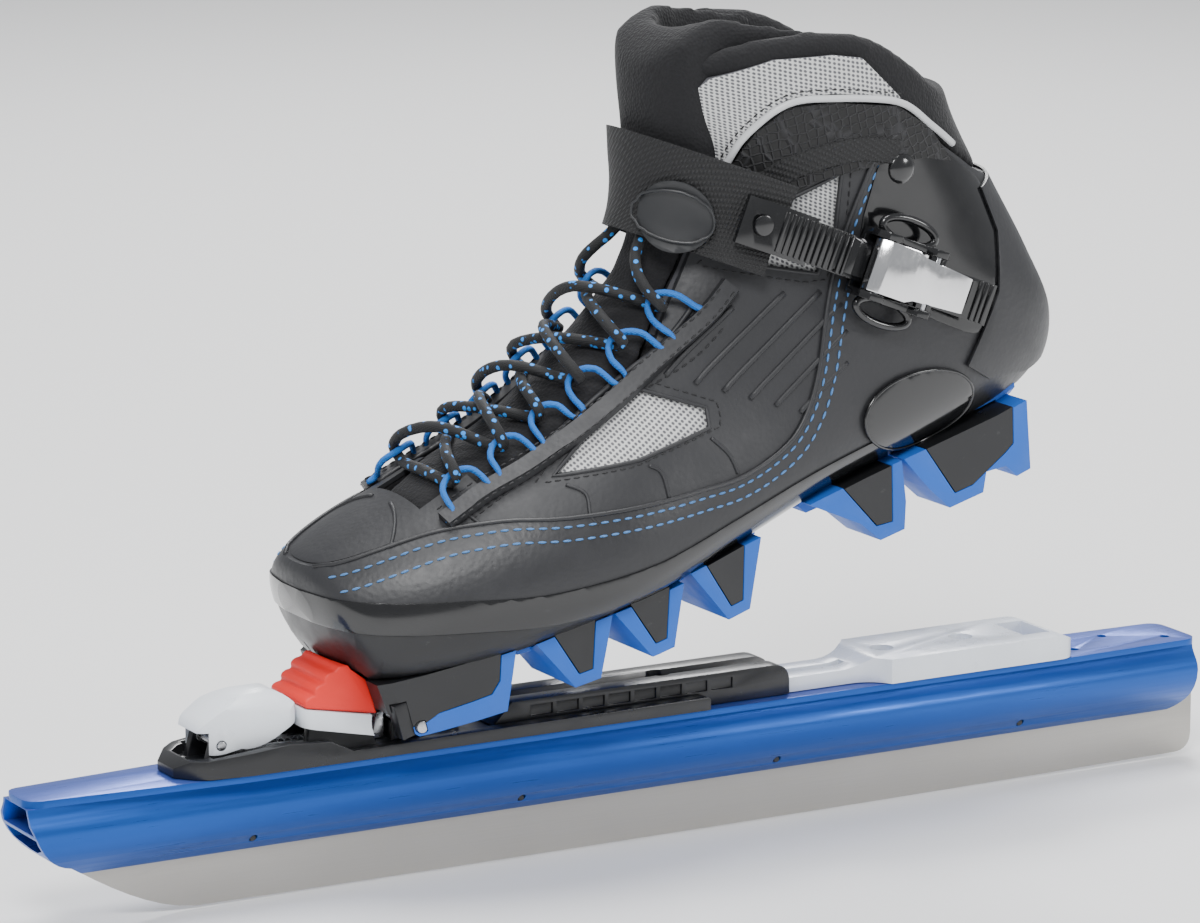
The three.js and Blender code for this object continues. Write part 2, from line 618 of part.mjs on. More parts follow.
function heelPlate() {
  const half = HEEL_PLATE_WIDTH / 2;
  const front = RIDGE_BACK + GAP;
  const plan = new THREE.Shape();
  plan.moveTo(front, -9);
  plan.lineTo(78, -9);
  plan.quadraticCurveTo(86, -9, 90, -half);
  plan.lineTo(158, -half);
  plan.quadraticCurveTo(166, -half, 166, -half + 9);
  plan.lineTo(166, half - 9);
  plan.quadraticCurveTo(166, half, 158, half);
  plan.lineTo(90, half);
  plan.quadraticCurveTo(86, 9, 78, 9);
  plan.lineTo(front, 9);
  const side = new THREE.Shape();
  side.moveTo(front, BASE_Z);
  side.lineTo(front, BASE_Z + 5);
  side.lineTo(74, BASE_Z + 5);
  side.quadraticCurveTo(80, BASE_Z + 5, 86, HEEL_PLATE_TOP);
  side.lineTo(156, HEEL_PLATE_TOP);
  side.quadraticCurveTo(164, HEEL_PLATE_TOP, 167, BASE_Z + 3.5);
  side.lineTo(167, BASE_Z);
  let plate = planSolid(plan, BASE_Z - 1, HEEL_PLATE_TOP + 5).intersect(sideSolid(side, -30, 30));
  plate = plate.subtract(block([front - 1, -2, 0], [80, 2, 200]));
  plate = plate.subtract(block([148, -9, 0], [159, 9, 200]));
  for (const s of [-1, 1]) {
    const low = Math.min(s * 3, s * (half - 3));
    const high = Math.max(s * 3, s * (half - 3));
    plate = plate.subtract(block([92, low, BASE_Z - 1], [144, high, BASE_Z + 4]));
  }
  for (const { x, seat } of heelScrews) {
    plate = plate.subtract(screwClearance(x, seat));
  }
  return plate;
}

// ---------------------------------------------------------------- boot surface

// The boot is a fan of rings. Each ring runs from a point on the sole or heel line to a point
// on the instep line, in the boot's own frame: u from toe bar to heel, w up from the toe bar.
// h is the half width, m the height share of the widest place, and low and high say how square
// the ring is below and above it. c moves a ring towards the inner side.
const HALF = BOOT_WIDTH / 2;
const RINGS = [
  { b: [-17.0, 36], t: [-17.2, 50], h: 0.22, m: 0.5, low: 2, high: 2, c: 6 },
  { b: [-13.5, 22], t: [-13.5, 56.5], h: 0.5, m: 0.5, low: 2.2, high: 2.2, c: 6 },
  { b: [-5, 13], t: [-4, 60.5], h: 0.7, m: 0.42, low: 2.6, high: 2.2, c: 5.5 },
  { b: [18, 10.5], t: [14, 65], h: 0.88, m: 0.36, low: 3, high: 2.1, c: 4 },
  { b: [50, 10], t: [40, 70.5], h: 0.98, m: 0.34, low: 3.2, high: 2, c: 1 },
  { b: [85, 11], t: [67, 77.5], h: 1, m: 0.32, low: 3.2, high: 1.9, c: -1 },
  { b: [125, 14], t: [90, 88.5], h: 0.9, m: 0.32, low: 3, high: 1.9, c: -1 },
  { b: [165, 16], t: [109, 99.5], h: 0.8, m: 0.34, low: 2.8, high: 1.9, c: 0 },
  { b: [205, 16], t: [122, 109.5], h: 0.76, m: 0.38, low: 2.6, high: 2, c: 0 },
  { b: [240, 16], t: [130.5, 120], h: 0.74, m: 0.42, low: 2.3, high: 2, c: 0 },
  { b: [262, 23], t: [135, 130.5], h: 0.72, m: 0.45, low: 2.2, high: 2, c: 0 },
  { b: [271, 40], t: [138, 141], h: 0.71, m: 0.47, low: 2.2, high: 2.1, c: 0 },
  { b: [267, 64], t: [141, 152], h: 0.72, m: 0.5, low: 2.2, high: 2.1, c: 0 },
  { b: [259, 92], t: [143.5, 163], h: 0.74, m: 0.5, low: 2.2, high: 2.2, c: 0 },
  { b: [252, 118], t: [146.5, 176], h: 0.76, m: 0.5, low: 2.2, high: 2.2, c: 0 },
  { b: [250, 142], t: [149.5, 191], h: 0.77, m: 0.5, low: 2.2, high: 2.2, c: 0 },
];
const RING_STEPS = 24;
const RING_POINTS = 20;

// Every value of the ring list at a place s between 0, the toe, and 1, the collar.
function ringAt(s) {
  const place = s * (RINGS.length - 1);
  const i = Math.min(Math.floor(place), RINGS.length - 2);
  const near = [i - 1, i, i + 1, i + 2].map((k) =>
    RINGS[THREE.MathUtils.clamp(k, 0, RINGS.length - 1)]);
  const f = place - i;
  const blend = (read) => {
    const [a, b, c, d] = near.map(read);
    return b + 0.5 * f * (c - a + f * (2 * a - 5 * b + 4 * c - d + f * (3 * (b - c) + d - a)));
  };
  return {
    bottom: new THREE.Vector2(blend((r) => r.b[0]), blend((r) => r.b[1])),
    top: new THREE.Vector2(blend((r) => r.t[0]), blend((r) => r.t[1])),
    half: HALF * blend((r) => r.h),
    widest: blend((r) => r.m),
    low: blend((r) => r.low),
    high: blend((r) => r.high),
    middle: blend((r) => r.c),
  };
}

// The boot's outer form, moved inward by inset; stretch lifts the open top end.
function bootForm(inset, stretch = 0) {
  const positions = [];
  const index = [];
  const ring = RING_POINTS;
  for (let i = 0; i <= RING_STEPS; i += 1) {
    const s = i / RING_STEPS;
    const r = ringAt(s);
    const up = r.top.clone().sub(r.bottom).normalize();
    const toeShare = Math.max(1 - s / 0.25, 0);
    const bottom = r.bottom.clone().addScaledVector(up, inset);
    const top = r.top.clone().addScaledVector(up, -inset);
    const lift = i === RING_STEPS ? stretch : 0;
    for (let k = 0; k < ring; k += 1) {
      const angle = 2 * Math.PI * k / ring;
      const power = Math.cos(angle) > 0 ? r.low : r.high;
      const reach = Math.abs(Math.cos(angle)) ** (2 / power);
      const wide = Math.abs(Math.sin(angle)) ** (2 / power);
      const q = Math.cos(angle) > 0 ? r.widest * (1 - reach) : r.widest + (1 - r.widest) * reach;
      const point = bottom.clone().lerp(top, q);
      const side = angle < Math.PI ? -1 : 1;
      const half = Math.max(r.half - inset, 1);
      positions.push(point.x + inset * toeShare, r.middle + side * wide * half, point.y + lift);
    }
  }
  const ends = [0, RING_STEPS].map((i) => {
    const middle = [0, 0, 0];
    for (let k = 0; k < ring; k += 1) {
      for (let a = 0; a < 3; a += 1) {
        middle[a] += positions[3 * (i * ring + k) + a] / ring;
      }
    }
    positions.push(...middle);
    return positions.length / 3 - 1;
  });
  for (let i = 0; i < RING_STEPS; i += 1) {
    for (let k = 0; k < ring; k += 1) {
      const a = i * ring + k;
      const b = i * ring + (k + 1) % ring;
      index.push(a, b, a + ring, b, b + ring, a + ring);
    }
  }
  for (let k = 0; k < ring; k += 1) {
    const next = (k + 1) % ring;
    index.push(ends[0], next, k);
    index.push(ends[1], RING_STEPS * ring + k, RING_STEPS * ring + next);
  }
  const geometry = new THREE.BufferGeometry();
  geometry.setAttribute('position', new THREE.Float32BufferAttribute(positions, 3));
  geometry.setIndex(index);
  return solid(geometry);
}

// A skin of the boot form between two insets; a negative inset is outside the form.
function skin(outer, inner) {
  return bootForm(outer).subtract(bootForm(inner, 30));
}

// ---------------------------------------------------------------- boot outlines (u, w)

// Upper edge of the moulded shell: along the toe rand, up to the ankle rivets, over the heel.
const SHELL_EDGE = [[-40, 56], [-12, 56.5], [4, 58], [16, 59], [27, 59], [43, 57],
  [58, 53], [77, 49], [93, 46], [109, 43.5], [123, 41.5], [136, 42], [148, 45], [157, 52],
  [165, 63], [173, 78], [180, 90], [189, 104], [197, 115], [205, 124], [214, 127.5], [224, 124],
  [236, 112], [248, 100], [262, 94], [290, 92]];
// Parting line between the shell and the sole.
const SOLE_EDGE = [[-40, 46], [-22, 40], [-3, 34], [20, 28], [43, 22], [64, 19], [83, 17.5],
  [100, 17.5], [160, 19.5], [240, 20.5], [290, 21]];
// Seam between the upper and the padded collar, from the tongue to the heel.
const COLLAR_EDGE = [[-40, 150], [90, 150], [128, 126], [150, 128], [176, 130], [196, 128], [214, 121],
  [232, 108], [248, 96], [290, 90]];
// Padded top line of the collar.
const RIM_EDGE = [[100, 130], [130, 150], [138, 163], [149, 171], [166, 174], [188, 171],
  [207, 164], [218, 156], [230, 144], [240, 134], [262, 128], [290, 126]];

const above = (edge, lift) => [...edge.map(([u, w]) => [u, w + lift]), [edge.at(-1)[0], 260],
  [edge[0][0], 260]];
const below = (edge, lift) => [...edge.map(([u, w]) => [u, w + lift]), [edge.at(-1)[0], -40],
  [edge[0][0], -40]];

const aboveSolid = (edge, lift = 0) => sideSolid(above(edge, lift), -FAR, FAR);
const belowSolid = (edge, lift = 0) => sideSolid(below(edge, lift), -FAR, FAR);

// ---------------------------------------------------------------- sole

// Side outlines of the lugs: [front top, front tip, rear tip, rear top] and the black core.
const LUGS = {
  toe: [
    { cap: [[-8, 16], [-6.4, 3], [-1.5, TREAD], [26, TREAD], [33.5, 16]],
      core: [[-9, 17], [-7.6, 1], [1, 1], [6, 3.4], [22.5, 4.4], [26, 8], [28.6, 17]] },
  ],
  forefoot: [
    { cap: [[40, 16], [49, TREAD], [58, TREAD], [67, 16]],
      core: [[46.5, 17], [51.6, 1.2], [56, 1.2], [61, 17]] },
    { cap: [[68, 16], [77, TREAD], [85.5, TREAD], [94.6, 16]],
      core: [[74, 17], [79.4, 1.2], [83.4, 1.2], [89, 17]] },
    { cap: [[98, 18], [108, TREAD], [117, TREAD], [128, 18]],
      core: [[104.5, 19], [110.4, 1.2], [115, 1.2], [121, 19]] },
  ],
  heel: [
    { cap: [[150, 20], [168, 5.5], [174, TREAD], [184, TREAD], [187, 6], [189, 20]],
      core: [[164, 21], [174, 2.6], [180, 1.6], [185, 21]] },
    { cap: [[190, 20], [197, 6.2], [203, TREAD], [217, TREAD], [220, 3.4], [228, 2.4],
      [231.5, TREAD], [238, TREAD], [243, 20]],
    core: [[199, 21], [206.5, 1.4], [214, 1.4], [233, 8.6], [236.5, 21]] },
  ],
};

// Plan of the sole from the rings: every place keeps a set distance from the boot's edge.
function solePlan(inset, from = 0.07, to = 0.64) {
  const outer = [];
  const inner = [];
  for (let i = 0; i <= 18; i += 1) {
    const r = ringAt(from + (to - from) * i / 18);
    const heelRound = r.bottom.x > 225 ? Math.sqrt(Math.max(1 - ((r.bottom.x - 225) / 48) ** 2, 0)) : 1;
    const half = (r.half * 0.93 - inset) * heelRound;
    outer.push([r.bottom.x, r.middle - half]);
    inner.unshift([r.bottom.x, r.middle + half]);
  }
  return [...outer, ...inner];
}

const groove = (roof) => block([-30, -GUIDE_GROOVE_WIDTH / 2, -30],
  [300, GUIDE_GROOVE_WIDTH / 2, roof]);
const GROOVE_ROOF = 7;

const LATCH_NOTCH = 3.2;                // lets the open latch pass below the raised boot
const INSERT = { front: -7, back: 12, half: 26, low: 6.6, high: 9.6, earIn: 20 };

function lugSolid(outline) {
  return sideSolid(outline, -FAR, FAR).intersect(planSolid(solePlan(2), -40, 40));
}

// Room in the toe for the bar, its insert and the binding's jaw.
function toeRoom() {
  const { front, back, half, low, high, earIn } = INSERT;
  return join([
    block([front - GAP, -half - GAP, low - GAP], [back + GAP, half + GAP, high + GAP]),
    block([-30, -half - GAP, -30], [6 + GAP, half + GAP, low]),
    block([-30, -FLEXOR_WIDTH / 2 - 1, -30], [front - GAP, FLEXOR_WIDTH / 2 + 1, 20]),
    block([-30, -earIn + GAP, -30], [10, earIn - GAP, low - GAP]),
    rod(vec(0, -TOE_BAR_LENGTH / 2 - GAP, 0), vec(0, TOE_BAR_LENGTH / 2 + GAP, 0),
      TOE_BAR_RADIUS + GAP),
  ]);
}

function toeBarInsert() {
  const { front, back, half, low, high, earIn } = INSERT;
  const plate = block([front, -half, low], [back, half, high]);
  const ears = [-1, 1].map((s) => block([front, Math.min(s * earIn, s * half), -2.4],
    [6, Math.max(s * earIn, s * half), low + 0.5]));
  const latchRoom = block([front - 1, -LATCH_HALF - 2 * GAP, low - 1],
    [front + LATCH_NOTCH, LATCH_HALF + 2 * GAP, high + 1]);
  return join([plate, ...ears])
    .subtract(latchRoom)
    .subtract(rod(vec(0, -FAR, 0), vec(0, FAR, 0), TOE_BAR_RADIUS + GAP));
}

function outsole() {
  const cup = skin(0, SOLE_PLATE).intersect(belowSolid(SOLE_EDGE));
  const cores = Object.values(LUGS).flat().map(({ core }) => lugSolid(core));
  const lugs = join(cores).intersect(belowSolid(SOLE_EDGE))
    .subtract(bootForm(SOLE_PLATE - 1)).subtract(groove(40));
  return cup.add(lugs).subtract(toeRoom());
}

// Blue rubber: caps round each core, joined by a thin sheet under the sole plate.
function tread(lugs, from, to) {
  const sheet = bootForm(-GAP - 1.6)
    .intersect(planSolid(solePlan(13), -40, 40))
    .intersect(block([from, -FAR, -30], [to, FAR, 24]));
  const caps = join(lugs.map(({ cap }) => lugSolid(cap))).subtract(groove(GROOVE_ROOF));
  const cores = join(lugs.map(({ core }) => coreClearance(core)));
  return caps.add(sheet).subtract(bootForm(-GAP)).subtract(cores).subtract(toeRoom());
}

function coreClearance(core) {
  const middle = core.reduce((sum, [u]) => sum + u, 0) / core.length;
  const wider = core.map(([u, w]) => [u + Math.sign(u - middle) * 0.36, w < 12 ? w - GAP : w]);
  const half = GUIDE_GROOVE_WIDTH / 2 - GAP;
  return sideSolid(wider, -FAR, -half).add(sideSolid(wider, half, FAR));
}

// ---------------------------------------------------------------- upper

// Windows in the upper, as side outlines: a front triangle and one behind the facing.
const FRONT_WINDOW = [[64, 64], [101, 80], [122, 66], [120, 60], [92, 60]];
const REAR_WINDOW = [[144, 107], [168, 118], [191, 122], [185, 104], [175, 92]];

// Inner limit of the tongue, in side view: everything in front of it between the facings is
// left to the tongue and the lacing.
const TONGUE_LINE = [[24, 54], [60, 61], [100, 76], [128, 100], [150, 124], [170, 148],
  [178, 172], [172, 184]];
const THROAT = 24;

function slot(half) {
  const line = TONGUE_LINE.map(([u, w]) => [u + GAP, w - GAP]);
  const front = [...line, [172, 260], [THROAT, 260]];
  const narrow = sideSolid(front, -half * 0.62, half * 0.62);
  const wide = sideSolid(front, -half, half).subtract(block([0, -FAR, 0], [THROAT + 12, FAR, 260]));
  return narrow.add(wide);
}

function shell() {
  return skin(0, SHELL_WALL)
    .intersect(belowSolid(SHELL_EDGE))
    .subtract(belowSolid(SOLE_EDGE, GAP));
}

function vamp() {
  const layer = skin(0.5, 0.5 + VAMP_WALL)
    .intersect(aboveSolid(SHELL_EDGE, GAP))
    .intersect(belowSolid(COLLAR_EDGE))
    .subtract(slot(FACING_GAP / 2));
  const windows = [FRONT_WINDOW, REAR_WINDOW].map((outline) => sideSolid(outline, -FAR, FAR));
  return layer.subtract(join(windows));
}

function liner() {
  const start = SHELL_WALL + GAP;
  return skin(start, start + LINER_WALL)
    .intersect(belowSolid(COLLAR_EDGE, -GAP))
    .subtract(belowSolid(SOLE_EDGE, 4))
    .subtract(slot(FACING_GAP / 2));
}

function collar() {
  return skin(0.2, COLLAR_PAD)
    .intersect(aboveSolid(COLLAR_EDGE, GAP))
    .subtract(belowSolid(SHELL_EDGE, GAP))
    .intersect(belowSolid(RIM_EDGE))
    .subtract(slot(FACING_GAP / 2 + 1));
}

function tongue() {
  const top = [[170, 178], [158, 182.5], [140, 181], [100, 182], [60, 130], [THROAT, 90]];
  const side = sideSolid([...TONGUE_LINE.slice(0, -1), ...top], -FAR, FAR);
  const half = FACING_GAP / 2 - GAP;
  const narrow = block([THROAT + GAP, -half * 0.6, 0], [THROAT + 16, half * 0.6, 260]);
  const wide = block([THROAT + 12 + GAP, -half, 0], [260, half, 260]);
  return skin(1, 1 + TONGUE_THICKNESS).intersect(side).intersect(narrow.add(wide));
}

// The counter caps the back of the heel outside the shell.
const COUNTER = [[245, 96], [247, 80], [240, 61], [229, 50], [221, 42], [230, 33], [250, 27],
  [300, 25], [300, 96]];
const COUNTER_WALL = 1.3;

function heelCounter() {
  return skin(-GAP - COUNTER_WALL, -GAP).intersect(sideSolid(COUNTER, -FAR, FAR));
}

// A layer of the footbed: everything between two heights above the sole line, inside inset.
const soleLine = (lift) => [[-40, 30 + lift],
  ...RINGS.slice(2, 10).map(({ b }) => [b[0], b[1] + lift]), [290, 19 + lift]];

function footbedLayer(low, high, inset) {
  const drop = Math.min(low - inset, 0);
  return bootForm(inset).translate([0, 0, drop])
    .intersect(belowSolid(soleLine(high)))
    .subtract(belowSolid(soleLine(low)));
}

// ---------------------------------------------------------------- lacing

// Rows of lace loops, as places in the ring list, and the places the lace ends run on to.
const LACE_ROWS = [3.9, 4.6, 5.2, 5.85, 6.6, 7.55];
const LACE_END = [8.5, 9.3, 10];

// A point of the boot form's upper half, by place in the ring list and distance across.
function formPoint(place, y) {
  const r = ringAt(place / (RINGS.length - 1));
  const wide = Math.min(Math.abs(y - r.middle) / r.half, 0.99);
  const reach = (1 - wide ** r.high) ** (1 / r.high);
  const point = r.bottom.clone().lerp(r.top, r.widest + (1 - r.widest) * reach);
  return vec(point.x, y, point.y);
}

// The same point lifted off the surface along its normal. Row 0 is the first row of loops.
function overInstep(row, y, lift) {
  const rows = [...LACE_ROWS, ...LACE_END];
  const i = THREE.MathUtils.clamp(Math.floor(row), 0, rows.length - 2);
  const place = rows[i] + (rows[i + 1] - rows[i]) * (row - i);
  const point = formPoint(place, y);
  const back = formPoint(place + 0.1, y).sub(point);
  const across = formPoint(place, y + 0.5).sub(point);
  return point.addScaledVector(back.cross(across).normalize(), lift);
}

// Heights of the lace and the loop cord above the form where they pass each other.
const LACE_LOW = LACE_RADIUS - 0.1;
const BIGHT = LACE_LOW + LACE_RADIUS + LOOP_RADIUS + 5 * GAP;
const LACE_HIGH = BIGHT + LACE_RADIUS + LOOP_RADIUS + 5 * GAP;
const BIGHT_AT = FACING_GAP / 2 - 5.5;
const TURN_AT = BIGHT_AT + LACE_RADIUS + LOOP_RADIUS + 2 * GAP;

// One lace: down one side of the zigzag, straight across the first row and up the other side.
function lacePoints() {
  const rows = LACE_ROWS.length;
  const strand = (first, high) => {
    const points = [];
    for (let k = 0; k < rows; k += 1) {
      const s = k % 2 === 0 ? first : -first;
      points.push(overInstep(k - 0.03, s * (BIGHT_AT - 1), LACE_LOW));
      points.push(overInstep(k, s * TURN_AT, BIGHT));
      points.push(overInstep(k + 0.03, s * (BIGHT_AT - 1), LACE_HIGH));
      if (k < rows - 1) {
        points.push(overInstep(k + 0.5, 0, high ? LACE_HIGH + 1 : BIGHT - 0.6));
      }
    }
    const last = rows % 2 === 0 ? -first : first;
    points.push(overInstep(rows - 0.4, last * 10, LACE_HIGH - 1.5));
    points.push(overInstep(rows + 0.4, last * 7, LACE_LOW + 1.2));
    points.push(overInstep(rows + 1.5, last * 6, LACE_LOW + 0.3));
    return points;
  };
  return [...strand(-1, false).reverse(), overInstep(-0.1, 0, LACE_LOW), ...strand(1, true)];
}

// The loop cord on one side: a bight towards the middle at every row, tucked under between.
function loopPoints(s) {
  const edge = FACING_GAP / 2 + 2.6;
  const flat = LOOP_RADIUS + 0.2;
  const half = 0.36;
  const points = [overInstep(-0.6, s * edge, flat)];
  LACE_ROWS.forEach((_, k) => {
    points.push(overInstep(k - half, s * edge, flat));
    points.push(overInstep(k - half, s * (BIGHT_AT + 2), BIGHT - 0.6));
    points.push(overInstep(k, s * (BIGHT_AT - 1.8), BIGHT));
    points.push(overInstep(k + half, s * (BIGHT_AT + 2), BIGHT - 0.6));
    points.push(overInstep(k + half, s * edge, flat));
  });
  points.push(overInstep(LACE_ROWS.length - 0.4, s * (edge + 0.5), flat));
  return points;
}

// ---------------------------------------------------------------- ankle strap and buckle

const STRAP_ANGLE = rad(-37);
const STRAP_CENTRE = [163, 112];      // on the strap's middle line, in side view
const STRAP_OFFSET = 6.2;             // the webbing bridges the lacing by this much
const alongStrap = (a, across = 0) => [
  STRAP_CENTRE[0] + a * Math.cos(STRAP_ANGLE) - across * Math.sin(STRAP_ANGLE),
  STRAP_CENTRE[1] + a * Math.sin(STRAP_ANGLE) + across * Math.cos(STRAP_ANGLE)];
const strapStrip = (from, to, half, y0, y1) => sideSolid([alongStrap(from, -half),
  alongStrap(to, -half), alongStrap(to, half), alongStrap(from, half)], y0, y1);

const WEB_END = 0;
const WEB_RIVET = -8;
const ANCHOR_END = 30;
const ANCHOR_RIVET = 40;
const RIVET_SHANK = 1.8;

const at3 = (a, y, across = 0) => {
  const [u, w] = alongStrap(a, across);
  return vec(u, y, w);
};

function ankleStrap() {
  const band = bootForm(-STRAP_OFFSET - STRAP_THICKNESS).subtract(bootForm(-STRAP_OFFSET, 30));
  const outerSide = strapStrip(-80, WEB_END, STRAP_WIDTH / 2, -FAR, 0);
  const innerSide = strapStrip(-80, ANCHOR_END, STRAP_WIDTH / 2, -0.1, FAR);
  return band.intersect(outerSide.add(innerSide))
    .subtract(rod(at3(WEB_RIVET, -FAR), at3(WEB_RIVET, -10), RIVET_SHANK + GAP, 12));
}

// The tab that ties the webbing to the shell on the inner side of the ankle.
function strapAnchor() {
  const low = -STRAP_OFFSET + GAP;
  const cover = bootForm(low).subtract(bootForm(low + 2, 30));
  const foot = bootForm(low).subtract(bootForm(-GAP, 30));
  const tab = cover.intersect(strapStrip(ANCHOR_END - 14, ANCHOR_RIVET + 8, STRAP_WIDTH / 2, 0, FAR));
  const base = foot.intersect(strapStrip(ANCHOR_RIVET - 7, ANCHOR_RIVET + 8, STRAP_WIDTH / 2, 0, FAR));
  return tab.add(base).subtract(anchorHole());
}

// An oval badge on the webbing, on the outer front corner of the ankle.
const STRAP_BADGE = { place: 9.8, y: -15, length: 13, height: 11.5, thickness: 1.6 };

function strapBadge() {
  const { place, y, length, height, thickness } = STRAP_BADGE;
  const centre = formPoint(place, y);
  const back = formPoint(place + 0.1, y).sub(centre);
  const across = formPoint(place, y - 0.5).sub(centre).normalize();
  const normal = across.clone().cross(back).normalize();
  const oval = new THREE.CylinderGeometry(1, 1, 40, 32);
  oval.scale(length, 1, height);
  const turn = new THREE.Matrix4().makeBasis(across, normal, across.clone().cross(normal));
  oval.applyMatrix4(turn);
  oval.translate(...centre.toArray());
  const low = -STRAP_OFFSET - STRAP_THICKNESS - GAP;
  return bootForm(low - thickness).subtract(bootForm(low, 30)).intersect(solid(oval));
}

// How far the boot's side stands out at a place in side view, found on the form itself.
function reachAt(u, w) {
  const needle = block([u - 0.6, -FAR, w - 0.6], [u + 0.6, 0, w + 0.6]).intersect(bootForm(0));
  return -needle.boundingBox().min[1];
}

const sideReach = (a) => reachAt(...alongStrap(a));

const BUCKLE_AT = 47;
const buckleReach = sideReach(BUCKLE_AT);
const BUCKLE_LIFT = 1.5;

// The buckle's own frame: x along the strap towards the heel, y across it, z off the boot.
const buckleFrame = new THREE.Group();
function placeBuckleFrame() {
  const [u, w] = alongStrap(BUCKLE_AT);
  const along = vec(Math.cos(STRAP_ANGLE), 0, Math.sin(STRAP_ANGLE));
  const ahead = sideReach(BUCKLE_AT - 14);
  const behind = sideReach(BUCKLE_AT + 14);
  along.y = -(behind - ahead) / 28;
  along.normalize();
  const out = vec(0, -1, 0).addScaledVector(along, along.y).normalize();
  const across = new THREE.Vector3().crossVectors(out, along);
  buckleFrame.matrix.makeBasis(along, across, out);
  buckleFrame.matrix.setPosition(u, -buckleReach - BUCKLE_LIFT, w);
  buckleFrame.matrix.decompose(buckleFrame.position, buckleFrame.quaternion, buckleFrame.scale);
  bootGroup.add(buckleFrame);
}
placeBuckleFrame();
const addToBuckle = (name, body, material) => add(name, body, material, buckleFrame);

const CHEEK = BUCKLE_WIDTH / 2;
const LEVER_AXIS = [-11, 10.4];       // along and off the boot, in the buckle's frame
const PAWL_AXIS = [8, 10.6];

const BUCKLE_PIN_RADIUS = 1.3;
const BUCKLE_FLOOR = 1.8;

const crossRod = ([x, z], radius, half) => rod(vec(x, -half, z), vec(x, half, z), radius, 12);

function buckleBase() {
  const floor = block([-16, -CHEEK, 0], [16, CHEEK, BUCKLE_FLOOR]);
  const cheek = [[-16, 0], [-16, 10], [-13.5, 13], [-8.5, 13], [-6, 9.5], [4, 9], [6, 12.6],
    [10.5, 12.6], [14, 8], [16, 3], [16, 0]];
  const cheeks = [-1, 1].map((s) => sideSolid(cheek,
    Math.min(s * CHEEK, s * (CHEEK - 2.4)), Math.max(s * CHEEK, s * (CHEEK - 2.4))));
  return join([floor, ...cheeks])
    .subtract(crossRod(LEVER_AXIS, BUCKLE_PIN_RADIUS + GAP, FAR))
    .subtract(crossRod(PAWL_AXIS, BUCKLE_PIN_RADIUS + GAP, FAR))
    .subtract(rod(vec(0, 0, -5), vec(0, 0, 5), RIVET_SHANK + GAP, 12))
    .subtract(rod(vec(0, 0, BUCKLE_FLOOR - 0.9), vec(0, 0, 5), 3.2 + GAP, 16));
}

// Flush rivet that holds the buckle on the shell.
function buckleRivet() {
  const shank = rod(vec(0, 0, -4.5), vec(0, 0, BUCKLE_FLOOR), RIVET_SHANK, 12);
  return shank.add(rod(vec(0, 0, BUCKLE_FLOOR - 0.9 + GAP), vec(0, 0, BUCKLE_FLOOR + 0.2), 3.2, 16));
}

function buckleLever() {
  const inner = CHEEK - 2.4 - GAP;
  const x = LEVER_AXIS[0];
  const z = LEVER_AXIS[1];
  const arm = [[x - 4, z - 2.6], [x - 4.4, z + 1.8], [x - 1, z + 4.4], [x + 10, z + 5.2],
    [x + 30, z + 3.4], [x + 34, z + 1.2], [x + 33, z - 0.6], [x + 22, z + 1.8], [x + 6, z + 2.4],
    [x + 3.6, z - 2.2], [x + 0.5, z - 3.4]];
  const plan = [[x - 5, -inner], [x + 9, -inner], [x + 12, -7.5], [x + 35, -6], [x + 35, 6],
    [x + 12, 7.5], [x + 9, inner], [x - 5, inner]];
  return sideSolid(arm, -inner, inner)
    .intersect(planSolid(plan, -40, 40))
    .subtract(crossRod(LEVER_AXIS, BUCKLE_PIN_RADIUS + GAP, FAR));
}

function bucklePawl() {
  const inner = CHEEK - 2.4 - GAP;
  const x = PAWL_AXIS[0];
  const z = PAWL_AXIS[1];
  const profile = [[x - 2.6, z - 1.6], [x - 6.4, z - 4.4], [x - 5.4, z - 4.8], [x, z - 2.8],
    [x + 3, z - 2], [x + 3, z + 1], [x - 1, z + 1.2], [x - 2.8, z + 0.8]];
  return sideSolid(profile, -inner, inner)
    .subtract(crossRod(PAWL_AXIS, BUCKLE_PIN_RADIUS + GAP, FAR));
}

// The ratchet ladder lies in the buckle and bends down forward onto the webbing.
const LADDER_FLOOR = BUCKLE_FLOOR + GAP + 0.4;
const LADDER_LINE = [[-61, LADDER_FLOOR - 3.7], [-55, LADDER_FLOOR - 1.5], [-47, LADDER_FLOOR + 1],
  [-38, LADDER_FLOOR + 0.8], [-28, LADDER_FLOOR], [32, LADDER_FLOOR]];
const LADDER_TOOTH = 1.1;

function ladderStrap() {
  const half = LADDER_WIDTH / 2;
  const roof = LADDER_LINE.map(([x, z]) => [x, z + LADDER_THICKNESS]).reverse();
  const profile = [...LADDER_LINE, [38, LADDER_FLOOR + LADDER_THICKNESS / 2], ...roof];
  const tab = sideSolid(profile, -half - 1, half + 1)
    .intersect(block([-62, -FAR, -20], [-36, FAR, 20]));
  const top = LADDER_FLOOR + LADDER_THICKNESS;
  const teeth = Array.from({ length: 12 }, (_, i) => -26 + i * 4.6).map((x) =>
    sideSolid([[x, top - 0.4], [x + 2.8, top - 0.4], [x + 2.8, top + LADDER_TOOTH]],
      -half + 1.4, half - 1.4));
  return join([sideSolid(profile, -half, half), tab, ...teeth])
    .subtract(rod(vec(WEB_RIVET - BUCKLE_AT, 0, -20), vec(WEB_RIVET - BUCKLE_AT, 0, 20),
      RIVET_SHANK + GAP, 12));
}

